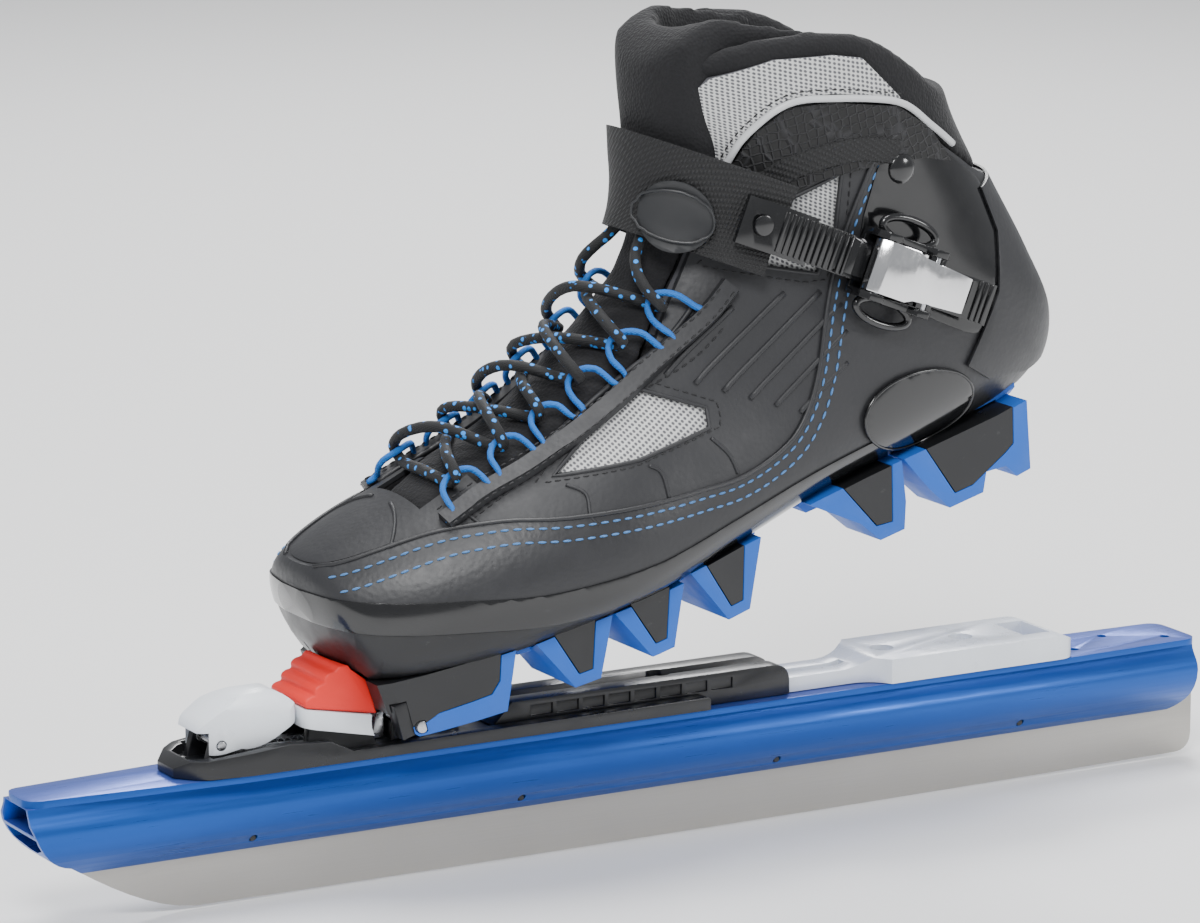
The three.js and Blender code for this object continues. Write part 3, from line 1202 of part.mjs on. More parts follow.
// A place on the boot's side with its outward direction; s is -1 on the outer side.
function sideSeat(u, w, s, lift = 0) {
  const step = 5;
  const alongU = (reachAt(u + step, w) - reachAt(u - step, w)) / (2 * step);
  const alongW = (reachAt(u, w + step) - reachAt(u, w - step)) / (2 * step);
  const out = vec(-alongU, s, -alongW).normalize();
  return { out, point: vec(u, s * reachAt(u, w), w).addScaledVector(out, lift) };
}

const throughSeat = ({ point, out }, radius, inward, outward) =>
  rod(point.clone().addScaledVector(out, -inward), point.clone().addScaledVector(out, outward),
    radius, 12);

// A domed rivet that stands square on its seat and reaches in by depth.
function seatRivet(seat, headRadius, depth, headHeight) {
  const profile = [[0, 0], [headRadius, 0], [headRadius, headHeight * 0.4],
    [headRadius * 0.6, headHeight], [0, headHeight]].map(([r, h]) => new THREE.Vector2(r, h));
  const head = new THREE.LatheGeometry(profile, 20);
  head.applyQuaternion(new THREE.Quaternion().setFromUnitVectors(vec(0, 1, 0), seat.out));
  head.translate(...seat.point.clone().addScaledVector(seat.out, GAP).toArray());
  return throughSeat(seat, RIVET_SHANK, depth, 1).add(solid(head));
}

const ARM_RIVET = [212, 116];
const RIVET_HEAD_LIFT = 0.6;          // a flat head stands off the curved wall by this much
const armSeat = (s) => sideSeat(...ARM_RIVET, s, RIVET_HEAD_LIFT);
const anchorSeat = () => sideSeat(...alongStrap(ANCHOR_RIVET), 1, STRAP_OFFSET + RIVET_HEAD_LIFT / 2);
const anchorHole = () => throughSeat(anchorSeat(), RIVET_SHANK + GAP, 24, 10);

// A plain oval plate that follows the shell below the ankle.
const SHELL_BADGE = { u: 199, w: 35, length: 23, height: 13.5, thickness: 1.2 };

function shellBadge(s) {
  const { u, w, length, height, thickness } = SHELL_BADGE;
  const oval = new THREE.CylinderGeometry(1, 1, FAR, 32);
  oval.scale(length, 1, height);
  oval.rotateY(rad(6));
  oval.translate(u, s * FAR / 2, w);
  return skin(-GAP - thickness, -GAP).intersect(solid(oval));
}

// Holes that rivets pass through, taken out of every wall they cross.
function buckleRivetHole() {
  const hole = new THREE.CylinderGeometry(RIVET_SHANK + GAP, RIVET_SHANK + GAP, 24, 12);
  hole.rotateX(Math.PI / 2);
  hole.applyMatrix4(buckleFrame.matrix);
  return solid(hole);
}
const rivetHoles = () => join([anchorHole(), buckleRivetHole(),
  ...[-1, 1].map((s) => throughSeat(armSeat(s), RIVET_SHANK + GAP, 24, 10))]);

// Holds the ladder's tab on the webbing; it stands in the buckle's frame.
function ladderRivet() {
  const x = WEB_RIVET - BUCKLE_AT;
  const seat = LADDER_FLOOR - 1.5 + LADDER_THICKNESS + 1.2;
  return rod(vec(x, 0, seat - 7), vec(x, 0, seat + 0.5), RIVET_SHANK, 12)
    .add(rod(vec(x, 0, seat), vec(x, 0, seat + 1.2), 3.4, 16));
}


// ---------------------------------------------------------------- assembly

add('binding_base', bindingBase(), MATERIALS.blackPlastic);
add('guide_ridge', guideRidge(), MATERIALS.blackPlastic);
add('heel_plate', heelPlate(), MATERIALS.whitePlastic);
add('flexor_seat', flexorSeat(), MATERIALS.whitePlastic);
add('toe_latch', latch(), MATERIALS.screwSteel);
add('latch_spring', coilSpring(vec(SPRING_FRONT + 0.4, 0, FLOOR_TOP + 2.1),
  vec(SPRING_BACK - 0.4, 0, FLOOR_TOP + 2.1), 1.3, 0.28, 6), MATERIALS.screwSteel);
add('binding_lever', bindingLever(), MATERIALS.whitePlastic);
add('lever_pin', rod(LEVER_PIN.clone().setY(-9.6), LEVER_PIN.clone().setY(9.6), 1.5, 14),
  MATERIALS.screwSteel);

const bootInPlace = (inset) => {
  const geometry = geometryOf(bootForm(inset));
  geometry.applyMatrix4(bootGroup.matrix);
  return solid(geometry);
};
// Everything behind the front face of the toe bar's insert, where the flexor may not reach.
function toeFront() {
  const room = block([INSERT.front - 2 * GAP, -FAR, -60], [60, FAR, 60]);
  const geometry = geometryOf(room);
  geometry.applyMatrix4(bootGroup.matrix);
  return solid(geometry);
}
add('flexor', sideSolid(flexorOutline(), -FLEXOR_WIDTH / 2, FLEXOR_WIDTH / 2, 4)
  .subtract(bootInPlace(-0.5)).subtract(toeFront()), MATERIALS.redRubber);

addToBoot('toe_bar', rod(vec(0, -TOE_BAR_LENGTH / 2, 0), vec(0, TOE_BAR_LENGTH / 2, 0),
  TOE_BAR_RADIUS, 20), MATERIALS.steel);
addToBoot('toe_bar_insert', toeBarInsert(), MATERIALS.blackPlastic);
addToBoot('outsole', outsole(), MATERIALS.glossBlack);
addToBoot('tread_toe', tread(LUGS.toe, 2, 34), MATERIALS.treadBlue);
addToBoot('tread_forefoot', tread(LUGS.forefoot, 38, 132), MATERIALS.treadBlue);
addToBoot('tread_heel', tread(LUGS.heel, 152, 246), MATERIALS.treadBlue);
addToBoot('shell', shell().subtract(rivetHoles()), MATERIALS.shell);
addToBoot('vamp', vamp().subtract(rivetHoles()), MATERIALS.upper);
addToBoot('liner', liner().subtract(rivetHoles()), MATERIALS.silverMesh);
addToBoot('collar', collar().subtract(rivetHoles()), MATERIALS.textile);
addToBoot('tongue', tongue(), MATERIALS.textile);

const inside = SHELL_WALL + LINER_WALL + 2 * GAP;
const BOARD = 2;
const boardLow = SOLE_PLATE + 4 * GAP;
addToBoot('insole_board', footbedLayer(boardLow, boardLow + BOARD, inside + 1.6), MATERIALS.blackPlastic);
addToBoot('insole', footbedLayer(boardLow + BOARD + GAP, boardLow + BOARD + 4, inside),
  MATERIALS.foam);
addToBoot('heel_counter', heelCounter(), MATERIALS.shell);
addToBoot('lace', cord(lacePoints(), LACE_RADIUS, 84), MATERIALS.lace);
for (const [name, s] of [['lace_loops_outer', -1], ['lace_loops_inner', 1]]) {
  addToBoot(name, cord(loopPoints(s), LOOP_RADIUS, 52, 6), MATERIALS.blueCord);
}
for (const [name, s] of [['outer', -1], ['inner', 1]]) {
  addToBoot(`arm_rivet_${name}`, seatRivet(armSeat(s), 5, 5, 2), MATERIALS.glossBlack);
  addToBoot(`shell_badge_${name}`, shellBadge(s), MATERIALS.glossBlack);
}
addToBoot('ankle_strap', ankleStrap(), MATERIALS.textile);
addToBoot('strap_badge', strapBadge(), MATERIALS.blackPlastic);
addToBoot('strap_anchor', strapAnchor(), MATERIALS.blackPlastic);
addToBoot('strap_anchor_rivet', seatRivet(anchorSeat(), 4, STRAP_OFFSET + 4, 1.4),
  MATERIALS.screwSteel);
addToBuckle('buckle_base', buckleBase(), MATERIALS.glossBlack);
addToBuckle('buckle_rivet', buckleRivet(), MATERIALS.screwSteel);
addToBuckle('buckle_lever', buckleLever(), MATERIALS.steel);
addToBuckle('buckle_lever_pin', crossRod(LEVER_AXIS, BUCKLE_PIN_RADIUS, CHEEK), MATERIALS.screwSteel);
addToBuckle('buckle_pawl', bucklePawl(), MATERIALS.glossBlack);
addToBuckle('buckle_pawl_pin', crossRod(PAWL_AXIS, BUCKLE_PIN_RADIUS, CHEEK), MATERIALS.screwSteel);
addToBuckle('ladder_strap', ladderStrap(), MATERIALS.glossBlack);
addToBuckle('ladder_rivet', ladderRivet(), MATERIALS.screwSteel);

export default skate;
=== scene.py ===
"""Touring speed skate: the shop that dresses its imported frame, piece by piece."""

import functools
import math

import bmesh
import bpy
from bpy.props import FloatProperty, FloatVectorProperty, IntProperty, PointerProperty
from mathutils import Matrix, Vector
from mathutils.bvhtree import BVHTree


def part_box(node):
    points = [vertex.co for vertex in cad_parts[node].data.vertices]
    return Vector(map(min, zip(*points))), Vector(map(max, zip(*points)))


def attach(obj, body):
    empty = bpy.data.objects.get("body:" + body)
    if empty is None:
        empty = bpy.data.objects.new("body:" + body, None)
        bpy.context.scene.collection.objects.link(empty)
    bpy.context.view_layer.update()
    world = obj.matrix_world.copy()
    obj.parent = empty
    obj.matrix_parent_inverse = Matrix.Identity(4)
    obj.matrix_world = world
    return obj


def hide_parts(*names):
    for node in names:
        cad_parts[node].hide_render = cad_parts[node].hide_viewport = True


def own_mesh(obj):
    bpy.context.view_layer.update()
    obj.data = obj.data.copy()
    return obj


bl_info = {
    "name": "Touring Skate Workshop",
    "version": (1, 0, 0),
    "blender": (4, 5, 0),
    "location": "3D View > Sidebar > Skate",
    "description": "Builds a touring speed skate around its packed frame",
    "category": "Add Mesh",
}

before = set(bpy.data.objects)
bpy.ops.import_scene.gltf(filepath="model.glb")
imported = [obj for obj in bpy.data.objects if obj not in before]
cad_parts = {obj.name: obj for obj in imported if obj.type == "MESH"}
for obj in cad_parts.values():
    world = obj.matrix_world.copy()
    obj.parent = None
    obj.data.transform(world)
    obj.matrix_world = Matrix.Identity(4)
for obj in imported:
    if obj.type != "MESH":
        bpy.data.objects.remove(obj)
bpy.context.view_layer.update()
MM = 0.001


# ------------------------------------------------------------------ the boot's own frame

def middle_of(node):
    """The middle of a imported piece's box."""
    low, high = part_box(node)
    return (low + high) / 2


# The boot's own frame is in millimetres: u runs from the toe bar to the heel along the sole,
# w upwards, and y to the inner side. The boot stands lifted by its heel.
LIFT = math.radians(15.5)
BOOT = (Matrix.Translation(middle_of("toe_bar")) @ Matrix.Rotation(-LIFT, 4, "Y")
        @ Matrix.Scale(MM, 4))
BOOT_BACK = BOOT.inverted()
HALF_WIDTH = 50.0

# Sections from toe to ankle: bottom and top (u, w), width share, height of the widest place,
# the powers below and above it, and the shift to the inner side.
SECTIONS = [
    ((-17, 36), (-17.2, 50), 0.22, 0.50, 2.0, 2.0, 6),
    ((-13.5, 22), (-13.5, 56.5), 0.50, 0.50, 2.2, 2.2, 6),
    ((-5, 13), (-4, 60.5), 0.70, 0.42, 2.6, 2.2, 5.5),
    ((18, 10.5), (14, 65), 0.88, 0.36, 3.0, 2.1, 4),
    ((50, 10), (40, 70.5), 0.98, 0.34, 3.2, 2.0, 1),
    ((85, 11), (67, 77.5), 1.00, 0.32, 3.2, 1.9, -1),
    ((125, 14), (90, 88.5), 0.90, 0.32, 3.0, 1.9, -1),
    ((165, 16), (109, 99.5), 0.80, 0.34, 2.8, 1.9, 0),
    ((205, 16), (122, 109.5), 0.76, 0.38, 2.6, 2.0, 0),
    ((240, 16), (130.5, 120), 0.74, 0.42, 2.3, 2.0, 0),
    ((262, 23), (135, 130.5), 0.72, 0.45, 2.2, 2.0, 0),
    ((271, 40), (138, 141), 0.71, 0.47, 2.2, 2.1, 0),
    ((267, 64), (141, 152), 0.72, 0.50, 2.2, 2.1, 0),
    ((259, 92), (143.5, 163), 0.74, 0.50, 2.2, 2.2, 0),
    ((252, 118), (146.5, 176), 0.76, 0.50, 2.2, 2.2, 0),
    ((250, 142), (149.5, 191), 0.77, 0.50, 2.2, 2.2, 0),
]
LAST = len(SECTIONS) - 1

# Edges and outlines of the pieces in side view (u, w).
SHELL_EDGE = [(-40, 56), (-12, 56.5), (4, 58), (16, 59), (27, 59), (43, 57), (58, 53), (77, 49),
              (93, 46), (109, 43.5), (123, 41.5), (136, 42), (148, 45), (157, 52), (165, 63),
              (173, 78), (180, 90), (189, 104), (197, 115), (205, 124), (214, 127.5), (224, 124),
              (236, 112), (248, 100), (262, 94), (290, 92)]
SOLE_EDGE = [(-40, 46), (-22, 40), (-3, 34), (20, 28), (43, 22), (64, 19), (83, 17.5),
             (100, 17.5), (160, 19.5), (240, 20.5), (290, 21)]
COLLAR_EDGE = [(-40, 150), (90, 150), (128, 126), (150, 128), (176, 130), (196, 128), (214, 121),
               (232, 108), (248, 96), (290, 90)]
RIM_EDGE = [(100, 130), (130, 150), (138, 163), (149, 171), (166, 174), (188, 171), (207, 164),
            (218, 156), (230, 144), (240, 134), (262, 128), (290, 126)]
TONGUE_LINE = [(24, 54), (60, 61), (100, 76), (128, 100), (150, 124), (170, 148), (178, 172),
               (172, 184)]
FRONT_WINDOW = [(64, 64), (101, 80), (122, 66), (120, 60), (92, 60)]
REAR_WINDOW = [(144, 107), (168, 118), (191, 122), (185, 104), (175, 92)]
HEEL_COUNTER = [(245, 96), (247, 80), (240, 61), (229, 50), (221, 42), (230, 33), (250, 27),
                (300, 25), (300, 96)]
PIPING = [(150, 129), (156, 136), (164, 145), (177, 151), (192, 148), (216, 138), (228, 125),
          (236, 115)]
SILVER_PANEL = [(138, 128), (140, 146), (147, 159), (157, 165.5), (176, 166.5), (196, 161.5),
                (206, 157), (218, 138.5), (205, 144.5), (192, 149.5), (177, 152.5), (164, 146.5),
                (156, 137.5), (150, 129)]
MESH_PANEL = [(150, 127.5), (158, 136), (166, 144.5), (177, 149.5), (192, 146.5), (216, 136.5),
              (228, 124), (234, 110), (222, 116), (206, 120), (186, 122), (166, 121)]
MOULDED_LINES = [[(66, 61), (70, 57), (68, 51), (69, 47.5)], [(94, 57.5), (97, 54), (96, 46)],
                 [(119, 57), (123, 50), (124, 43)], [(20, 66), (14, 62), (9, 58.5)],
                 [(34, 62), (36, 57.5)]]
WELT = [(27, 60.5), (43, 64.5), (60, 67.5), (78, 72), (96, 77.5), (111, 82.5), (124, 87),
        (136, 92), (146, 98)]
COLLAR_TAPE = [(146, 121), (160, 124.5), (176, 129.5), (196, 128.5), (212, 122)]
RIB_START, RIB_STEP, RIB_SLOPE = (114, 79), (8, -5.4), 0.41
RIB_LENGTHS = (30, 40, 44, 42, 33, 22)

GAP = 0.3              # gap between neighbouring skins
FACING_HALF = 23.5     # half the width between the facings
SLOT_HALF = 14.57      # half the width of the throat, in front of them
THROAT = 24.0          # where the throat starts, and where it is at its full width
FULL_THROAT = 36.0
FLOOR, ROOF, BESIDE = -60.0, 260.0, 150.0     # places well clear of the boot
SIDES = ((-1, "outer"), (1, "inner"))


def spline(values, place):
    """Catmull-Rom value of a list of tuples at a fractional place."""
    i = min(int(place), len(values) - 2)
    f = place - i
    a, b, c, d = (values[max(0, min(k, len(values) - 1))] for k in (i - 1, i, i + 1, i + 2))
    return tuple(q + 0.5 * f * (r - p + f * (2 * p - 5 * q + 4 * r - s
                 + f * (3 * (q - r) + s - p))) for p, q, r, s in zip(a, b, c, d))


def smooth_line(points, per=5):
    """A smooth line through points, with per steps for each of its spans."""
    count = (len(points) - 1) * per
    return [spline([tuple(map(float, p)) for p in points], i / per) for i in range(count + 1)]


FLAT_SECTIONS = [(*b, *t, h, m, low, high, c) for b, t, h, m, low, high, c in SECTIONS]


def section(place):
    """The form's section at a fractional place from toe (0) to ankle (LAST)."""
    bu, bw, tu, tw, h, m, low, high, c = spline(FLAT_SECTIONS, place)
    return Vector((bu, 0, bw)), Vector((tu, 0, tw)), HALF_WIDTH * h, m, low, high, c


def form_ring(place, inset, stretch, count):
    """One ring of the form, inset from its surface and stretched upwards."""
    bottom, top, half, widest, low, high, shift = section(place)
    up = (top - bottom).normalized()
    bottom, top = bottom + up * inset, top - up * inset
    toe = inset * max(1 - place / LAST / 0.25, 0)      # an inset at the toe also moves back
    half = max(half - inset, 1)
    ring = []
    for k in range(count + 1):
        angle = 2 * math.pi * k / count
        cosine, sine = math.cos(angle), math.sin(angle)
        power = low if cosine > 0 else high
        reach, wide = abs(cosine) ** (2 / power), abs(sine) ** (2 / power)
        q = widest * (1 - reach) if cosine > 0 else widest + (1 - widest) * reach
        point = bottom.lerp(top, q)
        side = -1 if angle < math.pi else 1
        ring.append(Vector((point.x + toe, shift + side * wide * half, point.z + stretch)))
    return ring


def form_sheet(bm, inset, stretch=0.0, rings=150, count=96):
    """One open tube of the boot's form, closed at the toe. Its UVs are in metres."""
    uv = bm.loops.layers.uv.verify()
    made = bmesh.ops.create_grid(bm, x_segments=rings, y_segments=count, size=1)
    table = [form_ring(LAST * i / rings, inset, stretch if i == rings else 0, count)
             for i in range(rings + 1)]
    girth = [[0.0] for _ in table]
    for ring, run in zip(table, girth):
        for a, b in zip(ring, ring[1:]):
            run.append(run[-1] + (b - a).length)
    crest = [0.0]
    for a, b in zip(table, table[1:]):
        crest.append(crest[-1] + ((b[0] + b[count // 2]) / 2 - (a[0] + a[count // 2]) / 2).length)
    cell = {}
    for vert in made["verts"]:
        i = round((vert.co.x + 1) / 2 * rings)
        k = round((vert.co.y + 1) / 2 * count)
        cell[vert] = (i, k)
    for face in {f for v in made["verts"] for f in v.link_faces}:
        for loop in face.loops:
            i, k = cell[loop.vert]
            loop[uv].uv = (crest[i] * MM, (girth[i][k] - girth[i][-1] / 2) * MM)
    for vert, (i, k) in cell.items():
        vert.co = table[i][k]
    bmesh.ops.remove_doubles(bm, verts=made["verts"], dist=1e-4)
    edges = {e for v in made["verts"] if v.is_valid for e in v.link_edges if e.is_boundary}
    toe = [e for e in edges if max(v.co.x for v in e.verts) < 0]
    cap = bmesh.ops.contextual_create(bm, geom=toe)["faces"]
    bmesh.ops.poke(bm, faces=cap)
    return [e for e in edges if e not in set(toe)]


def placed(bm, name):
    """Turns a bmesh into an object of the scene, and frees it."""
    mesh = bpy.data.meshes.new(name)
    bm.to_mesh(mesh)
    bm.free()
    obj = bpy.data.objects.new(name, mesh)
    bpy.context.scene.collection.objects.link(obj)
    return obj


def made_of(bm, name):
    """The same for a new shape, whose faces are turned outwards first."""
    bmesh.ops.recalc_face_normals(bm, faces=bm.faces)
    return placed(bm, name)


def boot_skin(name, outer, inner):
    """A closed skin of the boot's form between two insets, still in the boot's own frame.

    A negative inset lies outside the form."""
    bm = bmesh.new()
    loops = form_sheet(bm, outer) + form_sheet(bm, inner, stretch=2.0)
    bmesh.ops.bridge_loops(bm, edges=loops)
    return made_of(bm, name)


def prism(points, y0=-90.0, y1=90.0):
    """A straight-sided cutter from an outline in side view."""
    bm = bmesh.new()
    face = bm.faces.new([bm.verts.new((u, y0, w)) for u, w in points])
    grown = bmesh.ops.extrude_face_region(bm, geom=[face])["geom"]
    bmesh.ops.translate(bm, verts=[g for g in grown if isinstance(g, bmesh.types.BMVert)],
                        vec=(0, y1 - y0, 0))
    return made_of(bm, "cutter")


def reaching(level, edge, lift):
    """A cutter from an edge, lifted a little, to a level above or below the boot."""
    line = [(u, w + lift) for u, w in smooth_line(edge)]
    return prism(line + [(line[-1][0], level), (line[0][0], level)])


def under(edge, lift=0.0):
    """A cutter that fills all below an edge."""
    return reaching(FLOOR, edge, lift)


def over(edge, lift=0.0):
    """A cutter that fills all above an edge."""
    return reaching(ROOF, edge, lift)


def cut(obj, tool, how):
    """Keeps, joins or takes away what the tool covers, and drops the tool."""
    step = obj.modifiers.new("cut", "BOOLEAN")
    step.operation = how
    step.solver = "MANIFOLD"
    step.object = tool
    apply_all(obj)
    bpy.data.objects.remove(tool)
    return obj


def apply_all(obj):
    """Makes what the modifiers show the piece's own mesh."""
    depsgraph = bpy.context.evaluated_depsgraph_get()
    mesh = bpy.data.meshes.new_from_object(obj.evaluated_get(depsgraph), depsgraph=depsgraph)
    obj.modifiers.clear()
    obj.data = mesh
    return obj


def slot_tool(half, start=THROAT):
    """The room between the facings, in front of the tongue's line."""
    line = [(u + GAP, w - GAP) for u, w in smooth_line(TONGUE_LINE) if u >= start]
    return prism(line + [(172, ROOF), (start, ROOF)], -half, half)


@functools.cache
def form_tree():
    """The boot's form as a tree that finds points and normals on it."""
    bm = bmesh.new()
    rim = form_sheet(bm, 0)
    bmesh.ops.contextual_create(bm, geom=rim)
    bmesh.ops.recalc_face_normals(bm, faces=bm.faces)
    bmesh.ops.triangulate(bm, faces=bm.faces)
    tree = BVHTree.FromBMesh(bm)
    bm.free()
    return tree


def on_side(u, w, side=-1, lift=0.0):
    """A point of the boot's side, from its place in side view, in the boot's frame."""
    spot, normal, _, _ = form_tree().ray_cast(Vector((u, side * BESIDE, w)),
                                              Vector((0, -side, 0)))
    if spot is None:
        spot, normal, _, _ = form_tree().find_nearest(Vector((u, side * 2, w)))
    return spot + normal * lift


def over_instep(place, y, lift=0.0):
    """A point of the boot's upper half, by place in the sections and distance across."""
    bottom, top, half, widest, _, high, shift = section(place)
    wide = min(abs(y - shift) / half, 0.99)
    point = bottom.lerp(top, widest + (1 - widest) * (1 - wide ** high) ** (1 / high))
    spot, normal, _, _ = form_tree().find_nearest(Vector((point.x, y, point.z)))
    return spot + normal * lift


def settle(obj, look, body="boot", angle=35.0, bevel=0.0):
    """Brings a piece out of the boot's frame, gives it its finish and lets it ride."""
    obj.data.transform(BOOT)
    return dress(obj, look, body, angle, bevel)


def dress(obj, look, body, angle=35.0, bevel=0.0):
    """Gives a piece its finish, broken edges and shading, and lets it ride its body."""
    if look is not None:
        obj.data.materials.clear()
        obj.data.materials.append(finish(look))
    if bevel:
        soften(obj, bevel)
    obj.data.shade_smooth()
    if angle:
        sharpen(obj.data, math.radians(angle))
    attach(obj, body)
    return obj


def sharpen(mesh, angle):
    """Shades edges sharper than the angle as corners."""
    bm = bmesh.new()
    bm.from_mesh(mesh)
    for edge in bm.edges:
        edge.smooth = len(edge.link_faces) != 2 or edge.calc_face_angle(0) < angle
    bm.to_mesh(mesh)
    bm.free()


def soften(obj, width):
    """Breaks the edges of a hard piece."""
    step = obj.modifiers.new("edge", "BEVEL")
    step.width = width
    step.segments = 2
    step.limit_method = "ANGLE"
    step.angle_limit = math.radians(32)
    step.use_clamp_overlap = True
    step.harden_normals = False
    apply_all(obj)


# ------------------------------------------------------------------ finishes

class Recipe:
    """A material under construction: its nodes, wired by short calls."""

    def __init__(self, name, color, roughness=0.5, metallic=0.0, **sockets):
        self.material = bpy.data.materials.new(name)
        self.material.use_nodes = True
        self.tree = self.material.node_tree
        self.shader = self.tree.nodes["Principled BSDF"]
        self.set("Base Color", (*color, 1.0))
        self.set("Roughness", roughness)
        self.set("Metallic", metallic)
        for key, value in sockets.items():
            self.set(key.replace("_", " "), value)
        self.last_bump = None
        spot = self.node("ShaderNodeTexCoord")
        self.place = spot.outputs["Object"]
        self.boot = self.stretched(self.place, (1, 1, 1), (0, LIFT, 0))
        self.uv = spot.outputs["UV"]

    def set(self, socket, value):
        self.shader.inputs[socket].default_value = value

    def node(self, kind, **values):
        made = self.tree.nodes.new(kind)
        for key, value in values.items():
            if hasattr(made, key):
                setattr(made, key, value)
            else:
                made.inputs[key.replace("_", " ")].default_value = value
        return made

    def link(self, a, b):
        self.tree.links.new(a, b)

    def stretched(self, source, scale, turn=(0, 0, 0)):
        made = self.node("ShaderNodeMapping", Scale=scale, Rotation=turn)
        self.link(source, made.inputs["Vector"])
        return made.outputs["Vector"]

    def noise(self, scale, detail=3.0, source=None, rough=0.55):
        made = self.node("ShaderNodeTexNoise", Scale=scale, Detail=detail, Roughness=rough)
        self.link(source or self.place, made.inputs["Vector"])
        return made.outputs["Fac"]

    def cells(self, scale, source=None, feature="F1", randomness=1.0, flat=False):
        made = self.node("ShaderNodeTexVoronoi", feature=feature, Scale=scale,
                         Randomness=randomness)
        made.voronoi_dimensions = "2D" if flat else "3D"
        self.link(source or self.place, made.inputs["Vector"])
        return made.outputs["Distance"]

    def waves(self, scale, source, distortion=0.0):
        made = self.node("ShaderNodeTexWave", Scale=scale, Distortion=distortion,
                         bands_direction="DIAGONAL")
        self.link(source, made.inputs["Vector"])
        return made.outputs["Fac"]

    def ramp(self, factor, low, high, start=0.0, end=1.0):
        made = self.node("ShaderNodeMapRange", From_Min=low, From_Max=high, To_Min=start,
                         To_Max=end)
        self.link(factor, made.inputs["Value"])
        return made.outputs["Result"]

    def product(self, a, b):
        made = self.node("ShaderNodeMath", operation="MULTIPLY")
        self.link(a, made.inputs[0])
        self.link(b, made.inputs[1])
        return made.outputs[0]

    def tint(self, factor, first, second):
        """Colour that runs from the first to the second with the factor."""
        made = self.node("ShaderNodeMix", data_type="RGBA")
        sockets = [s for s in made.inputs if s.type == "RGBA"]
        for value, socket in zip((first, second), sockets):
            if isinstance(value, bpy.types.NodeSocket):
                self.link(value, socket)
            else:
                socket.default_value = (*value, 1.0)
        self.link(factor, made.inputs[0])
        return [s for s in made.outputs if s.type == "RGBA"][0]

    def color(self, source):
        self.link(source, self.shader.inputs["Base Color"])

    def rough(self, factor, low, high):
        self.link(self.ramp(factor, 0.3, 0.7, low, high), self.shader.inputs["Roughness"])

    def bump(self, height, strength, depth=0.0005):
        made = self.node("ShaderNodeBump", Strength=strength, Distance=depth)
        self.link(height, made.inputs["Height"])
        if self.last_bump is not None:
            self.link(self.last_bump, made.inputs["Normal"])
        self.last_bump = made.outputs["Normal"]
        self.link(self.last_bump, self.shader.inputs["Normal"])


def shade(color, factor):
    """A colour made lighter or darker."""
    return tuple(min(c * factor, 1.0) for c in color)


def anodised(look):
    """Drawn aluminium with a blue anodised coat; faces that point up are tinted paler, a painted
    reflection of the sky on its flat top.
    """
    r = Recipe("anodised blue with painted sky reflection", look.tube_color, 0.34, 0.55)
    drawn = r.noise(60, 4, r.stretched(r.place, (0.6, 14, 14)))
    cloud = r.noise(14, 2)
    # Faces that point up are tinted a paler blue: painted reflection of the sky on the flat top,
    # not the coat's own colour.
    facing = r.node("ShaderNodeNewGeometry").outputs["Normal"]
    up = r.node("ShaderNodeSeparateXYZ")
    r.link(facing, up.inputs[0])
    top = r.ramp(up.outputs["Z"], 0.75, 0.98)
    body = r.tint(cloud, shade(look.tube_color, 0.9), shade(look.tube_color, 1.12))
    r.color(r.tint(top, body, (0.055, 0.105, 0.42)))
    r.rough(drawn, 0.26, 0.44)
    r.bump(drawn, 0.10, 0.0002)
    r.bump(r.noise(2600, 2), 0.05, 0.0001)
    return r.material


def ground_steel(_look):
    """Blade steel, ground along its length."""
    r = Recipe("ground steel", (0.46, 0.44, 0.41), 0.42, 0.6)
    grind = r.noise(90, 5, r.stretched(r.place, (0.35, 20, 20)))
    cross = r.noise(420, 3, r.stretched(r.place, (1, 1, 0.12), (0, 0.35, 0)))
    r.color(r.tint(r.noise(9, 3), (0.40, 0.38, 0.345), (0.50, 0.485, 0.455)))
    r.rough(grind, 0.36, 0.54)
    r.bump(grind, 0.22, 0.0002)
    r.bump(cross, 0.08, 0.0001)
    return r.material


def satin_steel(_look):
    """Screws, rivets and pins."""
    r = Recipe("satin steel", (0.52, 0.53, 0.55), 0.3, 1.0)
    r.color(r.tint(r.noise(300, 3), (0.42, 0.43, 0.45), (0.6, 0.61, 0.63)))
    r.rough(r.noise(700, 4), 0.2, 0.42)
    r.bump(r.noise(1800, 3), 0.08, 0.0001)
    return r.material


def moulded(name, color, low, high, grain=1500, strength=0.08, scuff=0.0, coat=0.0):
    """Moulded plastic or rubber: fine grain, cloudy gloss and, where asked, light scuffs."""
    r = Recipe(name, color, (low + high) / 2, Coat_Weight=coat, Coat_Roughness=0.08)
    cloud = r.noise(28, 4)
    tone = r.tint(cloud, shade(color, 0.86), shade(color, 1.14))
    if scuff:
        scratch = r.noise(260, 6, r.stretched(r.place, (1, 5, 2), (0.3, 0.8, 0.5)))
        worn = r.ramp(scratch, 0.66, 0.74, 0.0, scuff)
        tone = r.tint(worn, tone, (0.45, 0.46, 0.47))
    r.color(tone)
    r.rough(r.noise(90, 5), low, high)
    r.bump(r.noise(grain, 3), strength, 0.0002)
    return r.material


def grained(name, color, low, high):
    """Coated leather: pebbled grain with creases and a soft, uneven sheen."""
    r = Recipe(name, color, (low + high) / 2)
    pebble = r.cells(620, feature="SMOOTH_F1")
    crease = r.noise(55, 6, rough=0.7)
    r.color(r.tint(r.noise(24, 5), shade(color, 0.82), shade(color, 1.2)))
    r.rough(crease, low, high)
    r.bump(pebble, 0.20, 0.0004)
    r.bump(crease, 0.10, 0.0008)
    r.bump(r.noise(2400, 2), 0.10, 0.0002)
    return r.material


